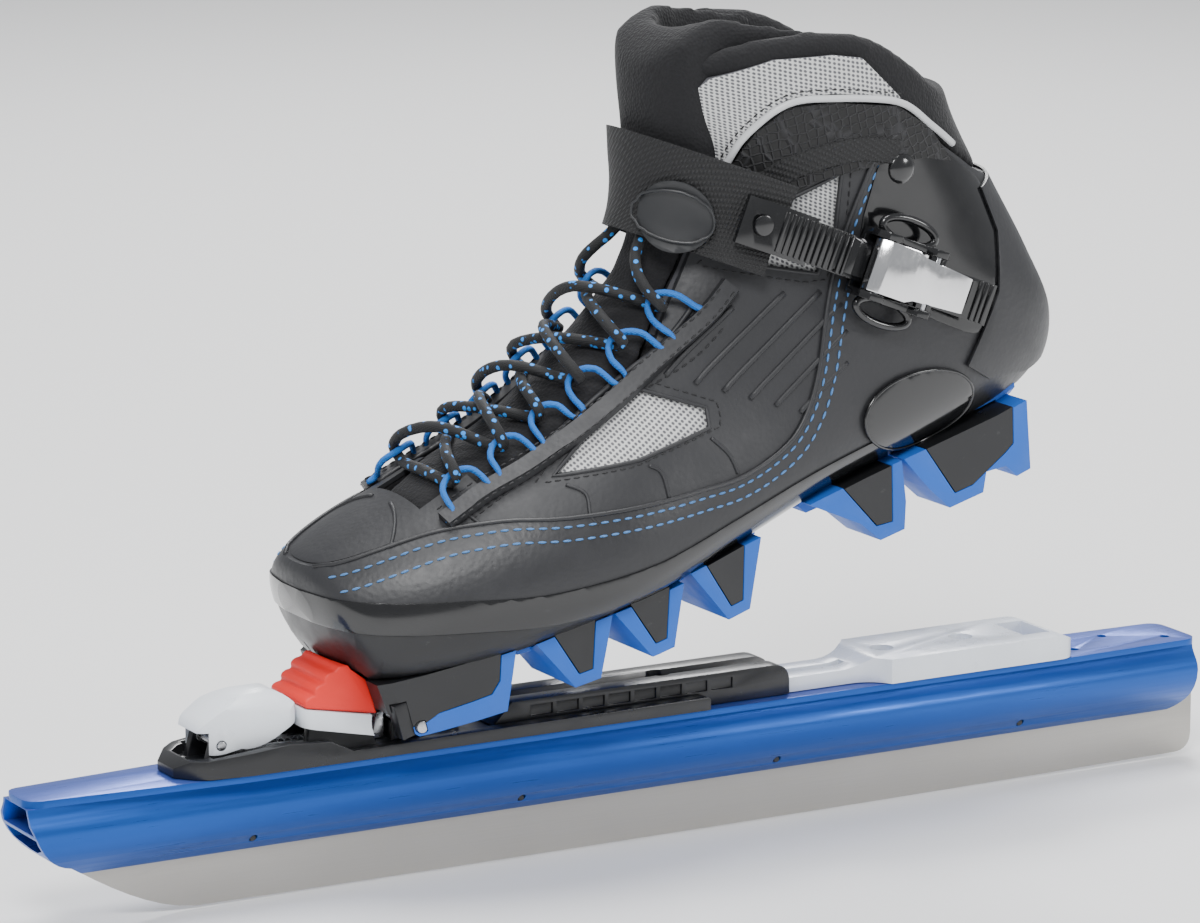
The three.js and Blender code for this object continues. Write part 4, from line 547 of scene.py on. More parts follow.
def spacer_mesh(name, color, opening_shade_color, scale):
    """Knitted mesh: rows of round openings in a silvery net, the openings painted dark as painted
    shade inside them.
    """
    r = Recipe(name, color, 0.6)
    where = r.stretched(r.uv, (1.0, 0.86, 1.0))
    spots = r.cells(scale, where, randomness=0.12, flat=True)
    # The openings take the dark colour: painted shade inside them.
    opening_shade_mask = r.ramp(spots, 0.42, 0.26)
    thread = r.waves(scale * 1.9, where, 0.4)
    net = r.tint(thread, shade(color, 0.82), shade(color, 1.1))
    r.color(r.tint(opening_shade_mask, net, opening_shade_color))
    r.bump(spots, 0.45, 0.0006)
    r.bump(thread, 0.14, 0.0002)
    return r.material


def honeycomb(name, color, scale):
    """Open mesh of raised cells; their middles are painted nearly black as painted shade in the
    hollows.
    """
    r = Recipe(name, color, 0.62, Sheen_Weight=0.04)
    ribs = r.cells(scale, r.boot, "DISTANCE_TO_EDGE", 0.35)
    # The cell middles are painted at 0.15 of the colour and the walls a little lighter: painted
    # shade in the hollows.
    wall_and_hollow_shade = r.ramp(ribs, 0.02, 0.14, 1.0, 0.0)
    r.color(r.tint(wall_and_hollow_shade, shade(color, 0.15), shade(color, 1.2)))
    r.bump(wall_and_hollow_shade, 0.8, 0.0009)
    r.bump(r.noise(2600, 2), 0.25, 0.0002)
    return r.material


def woven(name, color, yarns, strength, fleck=None, rough=0.7, along_boot=False):
    """Woven webbing or braid: two crossing yarns, painted lighter on their crossings and darker
    between them as painted highlight and shade, with coloured flecks where asked.
    """
    r = Recipe(name, color, rough, Sheen_Weight=0.04)
    where = r.boot if along_boot else r.place
    warp = r.waves(yarns, where)
    weft = r.waves(yarns, r.stretched(where, (-1, 1, 1)))
    weave_relief_and_shade = r.product(warp, weft)
    # The colour follows the weave's relief: painted highlight on the yarns' crossings and painted
    # shade between them.
    tone = r.tint(weave_relief_and_shade, shade(color, 0.45), shade(color, 1.5))
    if fleck is not None:
        spots = r.cells(330, where)
        tone = r.tint(r.ramp(spots, 0.30, 0.24), tone, fleck)
    r.color(tone)
    r.bump(weave_relief_and_shade, strength, 0.0004)
    r.bump(r.noise(3200, 2), 0.2, 0.0001)
    return r.material


def knit(name, color):
    """Brushed lining fabric: soft, nearly without shine."""
    r = Recipe(name, color, 0.92, Sheen_Weight=0.06, Sheen_Roughness=0.4)
    r.color(r.tint(r.noise(520, 4), shade(color, 0.6), shade(color, 1.35)))
    r.bump(r.cells(900), 0.5, 0.0005)
    r.bump(r.noise(60, 3), 0.15, 0.002)
    return r.material


def polished(name, color):
    """Bright metal with fine scratches."""
    r = Recipe(name, color, 0.12, 1.0)
    scratch = r.noise(500, 5, r.stretched(r.place, (1, 9, 1), (0.2, 0.6, 0.1)))
    r.color(r.tint(r.noise(120, 3), shade(color, 0.9), shade(color, 1.05)))
    r.rough(scratch, 0.06, 0.2)
    r.bump(scratch, 0.05, 0.0001)
    return r.material


SATIN_BLACK = (0.010, 0.0105, 0.012)

# Each finish: its material slot in the record, and the maker that turns the look into it.
FINISHES = {
    "anodised": ("anodised_blue", anodised),
    "steel": ("blade_steel", ground_steel),
    "screw": ("screw_steel", satin_steel),
    "base": ("black_plastic", lambda look: moulded(
        "binding black", SATIN_BLACK, 0.26, 0.42, scuff=0.05)),
    "white": ("white_plastic", lambda look: moulded(
        "white moulding", (0.78, 0.82, 0.87), 0.22, 0.42, 900, 0.05, scuff=0.10)),
    "red": ("red_rubber", lambda look: moulded(
        "red rubber", (0.78, 0.022, 0.014), 0.4, 0.6, 1200, 0.14)),
    "tread": ("tread_blue", lambda look: moulded(
        "blue tread rubber", look.tread_color, 0.42, 0.62, 1100, 0.16, scuff=0.04)),
    "gloss": ("wing_black", lambda look: moulded(
        "gloss black", (0.006, 0.0062, 0.007), 0.10, 0.24, 500, 0.03, scuff=0.03, coat=0.5)),
    "sole": ("outsole_black", lambda look: moulded(
        "sole black", SATIN_BLACK, 0.26, 0.44, 900, 0.08, scuff=0.04)),
    "shell": ("shell_grey", lambda look: grained("coated shell", look.shell_color, 0.34, 0.52)),
    "upper": ("upper_grey", lambda look: grained("coated upper", look.upper_color, 0.42, 0.62)),
    # The silver mesh's second colour is painted shade inside its openings.
    "silver": ("silver_mesh", lambda look: spacer_mesh(
        "silver mesh", (0.62, 0.625, 0.62), (0.10, 0.10, 0.11), 640)),
    "honeycomb": ("collar_black", lambda look: honeycomb(
        "black spacer mesh", (0.012, 0.012, 0.014), 330)),
    "lining": ("collar_black", lambda look: knit("black lining", (0.0075, 0.0075, 0.009))),
    "footbed": ("foot_bed", lambda look: knit("footbed cloth", (0.035, 0.037, 0.042))),
    "lace": ("lace", lambda look: woven(
        "flecked lace", SATIN_BLACK, 900, 0.5, fleck=look.fleck_color)),
    "loop": ("loop_blue", lambda look: woven("blue loop cord", look.loop_color, 1100, 0.45)),
    "webbing": ("strap_black", lambda look: woven(
        "black webbing", (0.012, 0.0122, 0.0135), 300, 1.0, along_boot=True)),
    "thread": ("loop_blue", lambda look: woven(
        "stitching thread", look.thread_color, 2200, 0.3, rough=0.5)),
    "dark thread": ("upper_grey", lambda look: woven(
        "dark thread", (0.008, 0.008, 0.01), 2200, 0.3, rough=0.5)),
    "piping": ("silver_mesh", lambda look: moulded(
        "reflective piping", (0.55, 0.56, 0.57), 0.25, 0.45, 1500, 0.1)),
    "chrome": ("lever_chrome", lambda look: polished("polished lever", (0.78, 0.78, 0.79))),
    "badge": ("badge_rubber", lambda look: moulded(
        "badge rubber", (0.02, 0.021, 0.023), 0.3, 0.5, 800, 0.1)),
}

@functools.cache
def finish(name):
    """The named finish, made once."""
    return FINISHES[name][1](bpy.context.scene.skate_look)


# ------------------------------------------------------------------ makers of pieces

def copy_of(node, name=None):
    """A merged copy of a CAD node that stands for it."""
    bm = bmesh.new()
    bm.from_mesh(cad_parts[node].data)
    bmesh.ops.remove_doubles(bm, verts=bm.verts, dist=2e-6)
    bmesh.ops.dissolve_limit(bm, angle_limit=math.radians(0.05), verts=bm.verts, edges=bm.edges)
    obj = placed(bm, name or node + "_finished")
    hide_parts(node)
    return obj


def crisp(node, look, body, bevel=0.0004, angle=35.0):
    """A hard CAD piece with its edges broken."""
    return dress(copy_of(node), look, body, angle, bevel)


def rounded(node, look, body, fuller=0.0):
    """A CAD cord or rubber piece with a finer, rounder surface."""
    obj = copy_of(node)
    if fuller:
        swell = obj.modifiers.new("fuller", "DISPLACE")
        swell.strength = fuller
        swell.mid_level = 0
    step = obj.modifiers.new("round", "SUBSURF")
    step.levels = step.render_levels = 1
    apply_all(obj)
    return dress(obj, look, body, angle=0)


def round_bar(name, points, radius, closed=False):
    """A round bar along points."""
    curve = bpy.data.curves.new(name, "CURVE")
    curve.dimensions = "3D"
    curve.bevel_depth = radius
    curve.bevel_resolution = 3
    curve.use_fill_caps = not closed
    run = curve.splines.new("POLY")
    run.points.add(len(points) - 1)
    for knot, point in zip(run.points, points):
        knot.co = (*point, 1)
    run.use_cyclic_u = closed
    holder = bpy.data.objects.new(name, curve)
    bpy.context.scene.collection.objects.link(holder)
    bm = bmesh.new()
    bm.from_mesh(bpy.data.meshes.new_from_object(holder))
    bpy.data.objects.remove(holder)
    bmesh.ops.remove_doubles(bm, verts=bm.verts, dist=1e-3)
    return made_of(bm, name)


def bead(name, points, radius, look, body="boot", closed=False):
    """A round trim along points of the boot's frame."""
    return settle(round_bar(name, points, radius, closed), look, body, angle=0)


def evenly(points, pitch):
    """Points along a line at an even pitch."""
    out, left = [points[0].copy()], pitch
    for a, b in zip(points, points[1:]):
        span = (b - a).length
        at = left
        while at <= span:
            out.append(a.lerp(b, at / span))
            at += pitch
        left = at - span
    return out


def stitches(name, lines, look, length, gap=1.1, radius=0.42):
    """Sewn thread: one small capsule for each stitch along the lines."""
    bm = bmesh.new()
    for line in lines:
        marks = evenly(line, length + gap)
        for a, b in zip(marks, marks[1:]):
            run = b - a
            turn = run.to_track_quat("Z", "Y").to_matrix().to_4x4()
            size = Matrix.Diagonal((radius, radius, length / 2, 1))
            place = Matrix.Translation((a + b) / 2) @ turn @ size
            bmesh.ops.create_uvsphere(bm, u_segments=6, v_segments=4, radius=1, matrix=place)
    return settle(made_of(bm, name), look, angle=0)


TAPE_SECTION = [(-1, 0), (-0.82, 1), (0.82, 1), (1, 0), (0.9, -0.2), (-0.9, -0.2)]


def ribbon(name, line, side, width, thickness, look, lift):
    """A flat tape along a line of the boot's side, with its thickness outwards."""
    points = lay(line, side)
    bm = bmesh.new()
    uv = bm.loops.layers.uv.verify()
    loops, travel = [], [0.0]
    for i, point in enumerate(points):
        normal = form_tree().find_nearest(point)[1]
        ahead = points[min(i + 1, len(points) - 1)] - points[max(i - 1, 0)]
        across = normal.cross(ahead).normalized()
        if i:
            travel.append(travel[-1] + (point - points[i - 1]).length)
        loops.append([bm.verts.new(point + across * s * width / 2 + normal * (lift + h * thickness))
                      for s, h in TAPE_SECTION])
    for i, (a, b) in enumerate(zip(loops, loops[1:])):
        for k in range(len(a)):
            n = (k + 1) % len(a)
            face = bm.faces.new((a[k], a[n], b[n], b[k]))
            for loop, (t, s) in zip(face.loops, ((i, k), (i, n), (i + 1, n), (i + 1, k))):
                loop[uv].uv = (travel[t] * MM, TAPE_SECTION[s][0] * width / 2 * MM)
    bm.faces.new(loops[0])
    bm.faces.new(list(reversed(loops[-1])))
    return settle(made_of(bm, name), look, angle=40)


def offset_line(points, shift):
    """A side-view line moved to its right by shift."""
    out = []
    for i, (u, w) in enumerate(points):
        (ua, wa), (ub, wb) = points[max(i - 1, 0)], points[min(i + 1, len(points) - 1)]
        size = math.hypot(ub - ua, wb - wa) or 1
        out.append((u + (wb - wa) / size * shift, w - (ub - ua) / size * shift))
    return out


def lay(points, side, lift=0.0):
    """A side-view line laid on the boot's surface."""
    return [on_side(u, w, side, lift) for u, w in points]


def between(points, low, high):
    """The points of a side-view line from low to high along the boot."""
    return [p for p in points if low <= p[0] <= high]


def sort_faces(obj, looks, choose):
    """Gives each face the finish that choose names from its middle in the boot's frame."""
    mesh = obj.data
    mesh.materials.clear()
    for look in looks:
        mesh.materials.append(finish(look))
    for face in mesh.polygons:
        spot = BOOT_BACK @ face.center
        face.material_index = looks.index(choose(spot))


def depth_in_form(spot):
    """How far a point lies inside the boot's form; negative outside it."""
    near, normal, _, _ = form_tree().find_nearest(spot)
    return (near - spot).dot(normal)


def wrap_uv(obj, centre, radius):
    """UVs in metres round the ankle's axis and up it."""
    layer = obj.data.uv_layers.get("wrap") or obj.data.uv_layers.new(name="wrap")
    obj.data.uv_layers.active = layer
    layer.active_render = True
    spots = [BOOT_BACK @ v.co for v in obj.data.vertices]
    for face in obj.data.polygons:
        middle = BOOT_BACK @ face.center
        base = math.atan2(middle.y, middle.x - centre)
        for k in face.loop_indices:
            spot = spots[obj.data.loops[k].vertex_index]
            angle = math.atan2(spot.y, spot.x - centre)
            angle += 2 * math.pi * round((base - angle) / (2 * math.pi))
            layer.data[k].uv = (angle * radius * MM, spot.z * MM)


FILLING = {"quality": 5, "mass": 0.2, "use_pressure": True, "uniform_pressure_force": 4.0,
           "tension_stiffness": 12, "compression_stiffness": 12}
FILLING_FRAMES = 20
MOST_SWELL = 0.0012


def stuffed(obj, voxel, smooth):
    """Padding under cloth: the piece is remeshed, blown up a little and smoothed."""
    obj.data.transform(BOOT)
    step = obj.modifiers.new("even", "REMESH")
    step.mode = "VOXEL"
    step.voxel_size = voxel
    apply_all(obj)
    rest = [v.co.copy() for v in obj.data.vertices]
    cloth = obj.modifiers.new("filling", "CLOTH")
    for key, value in FILLING.items():
        setattr(cloth.settings, key, value)
    cloth.settings.effector_weights.gravity = 0
    cloth.point_cache.frame_start = 1
    cloth.point_cache.frame_end = FILLING_FRAMES
    scene = bpy.context.scene
    for number in range(1, FILLING_FRAMES + 1):
        scene.frame_set(number)
    apply_all(obj)
    scene.frame_set(1)
    for vert, start in zip(obj.data.vertices, rest):
        step = vert.co - start
        if step.length > MOST_SWELL:
            vert.co = start + step * (MOST_SWELL / step.length)
    bm = bmesh.new()
    bm.from_mesh(obj.data)
    for _ in range(smooth):
        bmesh.ops.smooth_vert(bm, verts=bm.verts, factor=0.5, use_axis_x=True, use_axis_y=True,
                              use_axis_z=True)
    bm.to_mesh(obj.data)
    bm.free()
    finer = obj.modifiers.new("finer", "SUBSURF")
    finer.levels = finer.render_levels = 1
    apply_all(obj)
    obj.data.shade_smooth()


def pad(obj, node, centre, radius):
    """Dresses a padded piece in lining cloth and lets it ride the boot."""
    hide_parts(node)
    obj.data.materials.clear()
    obj.data.materials.append(finish("lining"))
    wrap_uv(obj, centre, radius)
    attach(obj, "boot")


def turns(count):
    """Angles spread evenly over one full turn."""
    return [2 * math.pi * k / count for k in range(count)]


# ------------------------------------------------------------------ settings

def color_setting(name, description, default):
    return FloatVectorProperty(name=name, description=description, subtype="COLOR", size=3,
                               min=0, max=1, default=default)


class SkateLook(bpy.types.PropertyGroup):
    """Colours and trim sizes of the skate."""

    tube_color: color_setting("Tube", "Anodised colour of the blade tube", (0.006, 0.075, 0.36))
    tread_color: color_setting("Tread", "Colour of the tread rubber", (0.006, 0.105, 0.50))
    shell_color: color_setting("Shell", "Colour of the moulded shell", (0.022, 0.0225, 0.025))
    upper_color: color_setting("Upper", "Colour of the coated upper", (0.019, 0.0195, 0.022))
    thread_color: color_setting("Thread", "Colour of the sewing thread", (0.09, 0.27, 0.62))
    loop_color: color_setting("Lace loops", "Colour of the lace loops", (0.008, 0.20, 0.80))
    fleck_color: color_setting("Lace flecks", "Colour of the lace's flecks", (0.02, 0.30, 0.9))
    stitch: FloatProperty(
        name="Stitch", description="Length of one stitch", unit="LENGTH",
        default=0.0030, min=0.001, max=0.01)
    thread: FloatProperty(
        name="Thread size", description="Thickness of the sewing thread", unit="LENGTH",
        default=0.0009, min=0.0003, max=0.002)
    edge: FloatProperty(
        name="Broken edge", description="Width of the broken edges on hard pieces",
        unit="LENGTH", default=0.0005, min=0.0001, max=0.002)
    ribs: IntProperty(
        name="Ribs", description="Moulded ribs on the side of the upper",
        default=6, min=0, max=10)


class Maker(bpy.types.Operator):
    """What every maker shares: its undo step and the look settings."""
    bl_options = {"REGISTER", "UNDO"}

    @property
    def look(self):
        return bpy.context.scene.skate_look


class SKATE_OT_blade(Maker):
    """Blade tube, steel and the pins that hold it"""
    bl_idname = "skate.blade"
    bl_label = "Blade"

    def execute(self, context):
        crisp("blade_tube", "anodised", "blade", 0.0003)
        crisp("steel_blade", "steel", "blade", 0.00015)
        for number in range(1, 5):
            crisp(f"blade_pin_{number}", "base", "blade", 0.0002)
        return {"FINISHED"}


class SKATE_OT_binding(Maker):
    """Binding base, guide ridge, heel plate, latch, lever and screws"""
    bl_idname = "skate.binding"
    bl_label = "Binding"

    def execute(self, context):
        edge = self.look.edge
        crisp("binding_base", "base", "blade", edge)
        crisp("guide_ridge", "base", "blade", edge)
        crisp("heel_plate", "white", "blade", edge * 1.4)
        crisp("flexor_seat", "white", "blade", edge * 1.4)
        crisp("toe_latch", "screw", "latch", edge * 0.6)
        crisp("binding_lever", "white", "lever", edge * 1.6, 40)
        crisp("lever_pin", "screw", "blade", 0.0003)
        for node in ("binding_screw_1", "binding_screw_2", "binding_screw_3",
                     "heel_plate_screw_1", "heel_plate_screw_2"):
            crisp(node, "screw", "blade", 0.00025)
        coil = rounded("latch_spring", "screw", "blade")
        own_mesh(coil)
        return {"FINISHED"}


class SKATE_OT_flexor(Maker):
    """Red rubber flexor in front of the boot's toe"""
    bl_idname = "skate.flexor"
    bl_label = "Flexor"

    def execute(self, context):
        obj = crisp("flexor", "red", "blade", 0.0008, 50)
        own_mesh(obj)
        return {"FINISHED"}


class SKATE_OT_sole(Maker):
    """Sole cup with its lugs, blue treads, toe bar and insert"""
    bl_idname = "skate.sole"
    bl_label = "Sole"

    # Room under the toe for the binding, in side view, and its half width.
    TOE_NOTCH = [(-32, -30), (-7, -30), (-7, 21), (-10, 33), (-32, 36)]
    NOTCH_HALF = 14.3

    def execute(self, context):
        cup = cut(boot_skin("outsole_finished", 0.2, 3.0), under(SOLE_EDGE), "INTERSECT")
        cut(cup, prism(self.TOE_NOTCH, -self.NOTCH_HALF, self.NOTCH_HALF), "DIFFERENCE")
        lugs = copy_of("outsole", "lugs")
        lugs.data.transform(BOOT_BACK)
        cut(cup, lugs, "UNION")
        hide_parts("outsole")
        settle(cup, "sole", angle=32)
        for node in ("tread_toe", "tread_forefoot", "tread_heel"):
            crisp(node, "tread", "boot", self.look.edge * 1.2)
        crisp("toe_bar", "screw", "boot", 0.0003)
        crisp("toe_bar_insert", "base", "boot", self.look.edge)
        crisp("insole", "footbed", "boot", 0, 60)
        crisp("insole_board", "footbed", "boot", 0, 60)
        return {"FINISHED"}


class SKATE_OT_shell(Maker):
    """Moulded shell, glossy ankle wings, heel counter and plain badges"""
    bl_idname = "skate.shell"
    bl_label = "Shell"

    # In side view: where the glossy band stops before the heel counter, and the ankle wing.
    BAND_END = [(222, -60), (222, 200), (320, 200), (320, -60)]
    WING = [(199, 112), (205, 121), (214, 126), (224, 122.5), (235, 111), (246, 97), (247, 78),
            (239, 59), (229, 51), (216, 59), (204, 70), (195, 82), (191, 92), (194, 103)]

    def execute(self, context):
        shell = cut(boot_skin("shell_finished", 0, 2.2), under(SHELL_EDGE), "INTERSECT")
        cut(shell, under(SOLE_EDGE, GAP), "DIFFERENCE")
        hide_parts("shell")
        settle(shell, "shell", angle=32)
        wing = boot_skin("ankle_wings", -0.6, 0.4)
        cut(wing, prism(smooth_line(self.WING + self.WING[:1], 4)[:-1]), "INTERSECT")
        settle(wing, "gloss", angle=32, bevel=0.0003)
        band = cut(boot_skin("shell_band", -0.5, 0.4), under(SOLE_EDGE, 11), "INTERSECT")
        cut(band, under(SOLE_EDGE, GAP), "DIFFERENCE")
        cut(band, prism(self.BAND_END), "DIFFERENCE")
        settle(band, "gloss", angle=32, bevel=0.0003)
        counter = cut(boot_skin("heel_counter_finished", -1.6, -0.3),
                      prism(HEEL_COUNTER), "INTERSECT")
        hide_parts("heel_counter")
        settle(counter, "shell", angle=32, bevel=0.0004)
        edge = between(smooth_line(SHELL_EDGE), -16, 214)
        for side, word in SIDES:
            self.badge(side, f"shell_badge_{word}")
            bead(f"shell_lip_{word}", lay(edge, side, 0.05), 0.75, "shell")
        return {"FINISHED"}

    def badge(self, side, node):
        """A plain oval plate on one side of the heel, with its rim."""
        long, tall = 23.0, 13.5
        oval = [(199 + long * math.cos(a) - 0.1 * tall * math.sin(a),
                 35 + tall * math.sin(a) - 0.105 * long * math.cos(a)) for a in turns(72)]
        y0, y1 = (-90, 0) if side < 0 else (0, 90)
        plate = cut(boot_skin(node + "_finished", -1.5, -0.3), prism(oval, y0, y1), "INTERSECT")
        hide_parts(node)
        settle(plate, "gloss", angle=32, bevel=0.0004)
        rim = [on_side(u, w, side, 1.3) for u, w in oval]
        bead(node + "_rim", rim, 0.55, "gloss", closed=True)


class SKATE_OT_upper(Maker):
    """Coated upper with its windows, mesh lining, ribs and facings"""
    bl_idname = "skate.upper"
    bl_label = "Upper"

    def execute(self, context):
        vamp = cut(boot_skin("vamp_finished", 0.45, 2.2), over(SHELL_EDGE, GAP), "INTERSECT")
        cut(vamp, under(COLLAR_EDGE), "INTERSECT")
        cut(vamp, slot_tool(SLOT_HALF), "DIFFERENCE")
        cut(vamp, slot_tool(FACING_HALF, FULL_THROAT), "DIFFERENCE")
        for window in (FRONT_WINDOW, REAR_WINDOW):
            cut(vamp, prism(window), "DIFFERENCE")
        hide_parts("vamp")
        settle(vamp, "upper", angle=32)
        liner = cut(boot_skin("liner_finished", 1.9, 5.5), under(COLLAR_EDGE, -GAP), "INTERSECT")
        cut(liner, under(SOLE_EDGE, 4), "DIFFERENCE")
        cut(liner, slot_tool(SLOT_HALF), "DIFFERENCE")
        cut(liner, slot_tool(FACING_HALF, FULL_THROAT), "DIFFERENCE")
        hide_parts("liner")
        settle(liner, None, angle=32)
        sort_faces(liner, ["silver", "lining"],
                   lambda spot: "silver" if spot.x < 200 and depth_in_form(spot) < 3.4
                   else "lining")
        for side, word in SIDES:
            self.trims(side, word)
        return {"FINISHED"}

    def trims(self, side, word):
        """The edges, seams, welt, moulded lines and ribs of one side."""
        for name, window in (("front", FRONT_WINDOW), ("rear", REAR_WINDOW)):
            outline = []
            for a, b in zip(window, window[1:] + window[:1]):
                outline += [(a[0] + (b[0] - a[0]) * k / 8, a[1] + (b[1] - a[1]) * k / 8)
                            for k in range(8)]
            rim = [on_side(u, w, side, -0.5) for u, w in outline]
            bead(f"window_{name}_{word}", rim, 0.7, "upper", closed=True)
            mu, mw = (sum(axis) / len(window) for axis in zip(*window))
            wider = [(mu + (u - mu) * 1.12 + (2 if u > mu else -2), mw + (w - mw) * 1.18)
                     for u, w in outline]
            seam = lay(wider + wider[:1], side, -0.35)
            stitches(f"window_seam_{name}_{word}", [seam], "dark thread", length=2.2, gap=0.9,
                     radius=0.3)
        bead(f"facing_edge_{word}", self.facing(side, 0.6, -0.1), 1.0, "upper")
        for row, lane in enumerate((3.4, 6.2)):
            stitches(f"facing_seam_{word}_{row + 1}", [self.facing(side, lane, -0.3)],
                     "dark thread", length=2.4, gap=1.0, radius=0.33)
        welt = smooth_line(WELT, 8)
        ribbon(f"facing_welt_{word}", welt, side, 7.0, 3.0, "upper", lift=-0.2)
        for row, shift in enumerate((-1.9, 1.9)):
            seam = lay(offset_line(welt, shift), side, 2.75)
            stitches(f"welt_seam_{word}_{row + 1}", [seam], "dark thread", length=2.4, gap=0.8,
                     radius=0.4)
        for number, path in enumerate(MOULDED_LINES):
            bead(f"vamp_line_{word}_{number + 1}", lay(smooth_line(path, 6), side, -0.35), 0.65,
                 "upper")
        for k in range(self.look.ribs):
            length = RIB_LENGTHS[min(k, len(RIB_LENGTHS) - 1)]
            u, w = (start + step * k for start, step in zip(RIB_START, RIB_STEP))
            run = [(u + length * j / 14, w + RIB_SLOPE * length * j / 14) for j in range(15)]
            bead(f"rib_{word}_{k + 1}", lay(run, side, -0.6), 1.0, "upper")

    @staticmethod
    def facing(side, lane, lift):
        """A line beside the throat, lane further out than its edge."""
        return [over_instep(3.6 + 4.3 * k / 60, side * (FACING_HALF + lane), lift)
                for k in range(61)]


class SKATE_OT_seams(Maker):
    """Sewing thread on the shell, along its edge"""
    bl_idname = "skate.seams"
    bl_label = "Seams"

    def execute(self, context):
        look = self.look
        edge = between(smooth_line(SHELL_EDGE, 8), -15, 213)
        for side, word in SIDES:
            lines = [lay(offset_line(edge, shift), side, 0.12) for shift in (2.6, 6.6)]
            stitches(f"shell_seam_{word}", lines, "thread", length=look.stitch / MM,
                     radius=look.thread / MM / 2)
        return {"FINISHED"}


class SKATE_OT_collar(Maker):
    """Padded collar with its mesh panels, piping and edge"""
    bl_idname = "skate.collar"
    bl_label = "Collar"

    def execute(self, context):
        collar = cut(boot_skin("collar_finished", 1.0, 8.4), over(COLLAR_EDGE, GAP), "INTERSECT")
        cut(collar, under(SHELL_EDGE, GAP), "DIFFERENCE")
        cut(collar, under(RIM_EDGE), "INTERSECT")
        cut(collar, slot_tool(FACING_HALF + 1), "DIFFERENCE")
        cut(collar, round_bar("roll", self.rim_line(), 4.3), "UNION")
        stuffed(collar, voxel=0.0022, smooth=6)
        pad(collar, "collar", centre=198, radius=46)
        for side, word in SIDES:
            bead(f"collar_piping_{word}", lay(smooth_line(PIPING, 6), side, 0.9), 1.2, "piping")
            half = sorted((0, side * 90))
            for name, outline, look in (("silver_panel", SILVER_PANEL, "silver"),
                                        ("mesh_panel", MESH_PANEL, "honeycomb")):
                panel = boot_skin(f"{name}_{word}", -0.7, 1.4)
                cut(panel, prism(outline, *half), "INTERSECT")
                settle(panel, look, angle=32, bevel=0.0005)
            edge = lay(offset_line(smooth_line(SILVER_PANEL[7:], 6), 1.4), side, 0.75)
            stitches(f"panel_seam_{word}", [edge], "dark thread", length=2.0, gap=0.9, radius=0.3)
            ribbon(f"collar_tape_{word}", smooth_line(COLLAR_TAPE, 8), side, 9.0, 0.9, "webbing",
                   lift=0.3)
        return {"FINISHED"}

    @staticmethod
    def rim_line():
        """The middle of the roll that rounds the collar's rim."""
        rim = [p for p in smooth_line(RIM_EDGE, 4) if 152 < p[0] < 252]
        low = [(u, w - 3.6) for u, w in rim]
        return lay(low, -1, -4.4) + lay(list(reversed(low)), 1, -4.4)


class SKATE_OT_tongue(Maker):
    """Padded tongue behind the lacing"""
    bl_idname = "skate.tongue"
    bl_label = "Tongue"

    # In side view: the top of the pad, the thicker head, the wings round the ankle, the crown.
    PAD_TOP = [(172, 181), (158, 184), (140, 182), (100, 182), (60, 130), (THROAT, 90)]
    HEAD = [(90, 126), (150, 132), (190, 162), (190, 230), (90, 230)]
    WINGS = [(120, 128), (168, 134), (206, 146), (206, 230), (120, 230)]
    CROWN = [(0, 118), (90, 124), (124, 146), (134, 162), (143, 172.5), (154, 180), (168, 183),
             (182, 180), (196, 173), (216, 160)]

    def execute(self, context):
        half = FACING_HALF - GAP
        pad_side = smooth_line(TONGUE_LINE[:-1], 5) + self.PAD_TOP
        tongue = cut(boot_skin("tongue_finished", 1.4, 6.0), prism(pad_side, -half, half),
                     "INTERSECT")
        cut(tongue, self.front(THROAT + GAP, -90, 90), "DIFFERENCE")
        for side, _ in SIDES:
            cut(tongue, self.front(THROAT + 13, *sorted((side * half * 0.6, side * 40))),
                "DIFFERENCE")
        head = prism(self.HEAD, -half + 0.6, half - 0.6)
        cut(tongue, cut(boot_skin("head", -2.8, 9.5), head, "INTERSECT"), "UNION")
        wings = cut(boot_skin("wings", 8.2, 12.0), prism(self.WINGS), "INTERSECT")
        cut(tongue, wings, "UNION")
        cut(tongue, under(self.CROWN), "INTERSECT")
        stuffed(tongue, voxel=0.0018, smooth=10)
        pad(tongue, "tongue", centre=210, radius=60)
        return {"FINISHED"}

    @staticmethod
    def front(end, y0, y1):
        """A cutter for all in front of end."""
        return prism([(0, 0), (end, 0), (end, ROOF), (0, ROOF)], y0, y1)


class SKATE_OT_lacing(Maker):
    """Flecked lace and the loops it runs through"""
    bl_idname = "skate.lacing"
    bl_label = "Lacing"

    def execute(self, context):
        rounded("lace", "lace", "boot", fuller=0.00045)
        rounded("lace_loops_outer", "loop", "boot", fuller=0.0002)
        rounded("lace_loops_inner", "loop", "boot", fuller=0.0002)
        return {"FINISHED"}


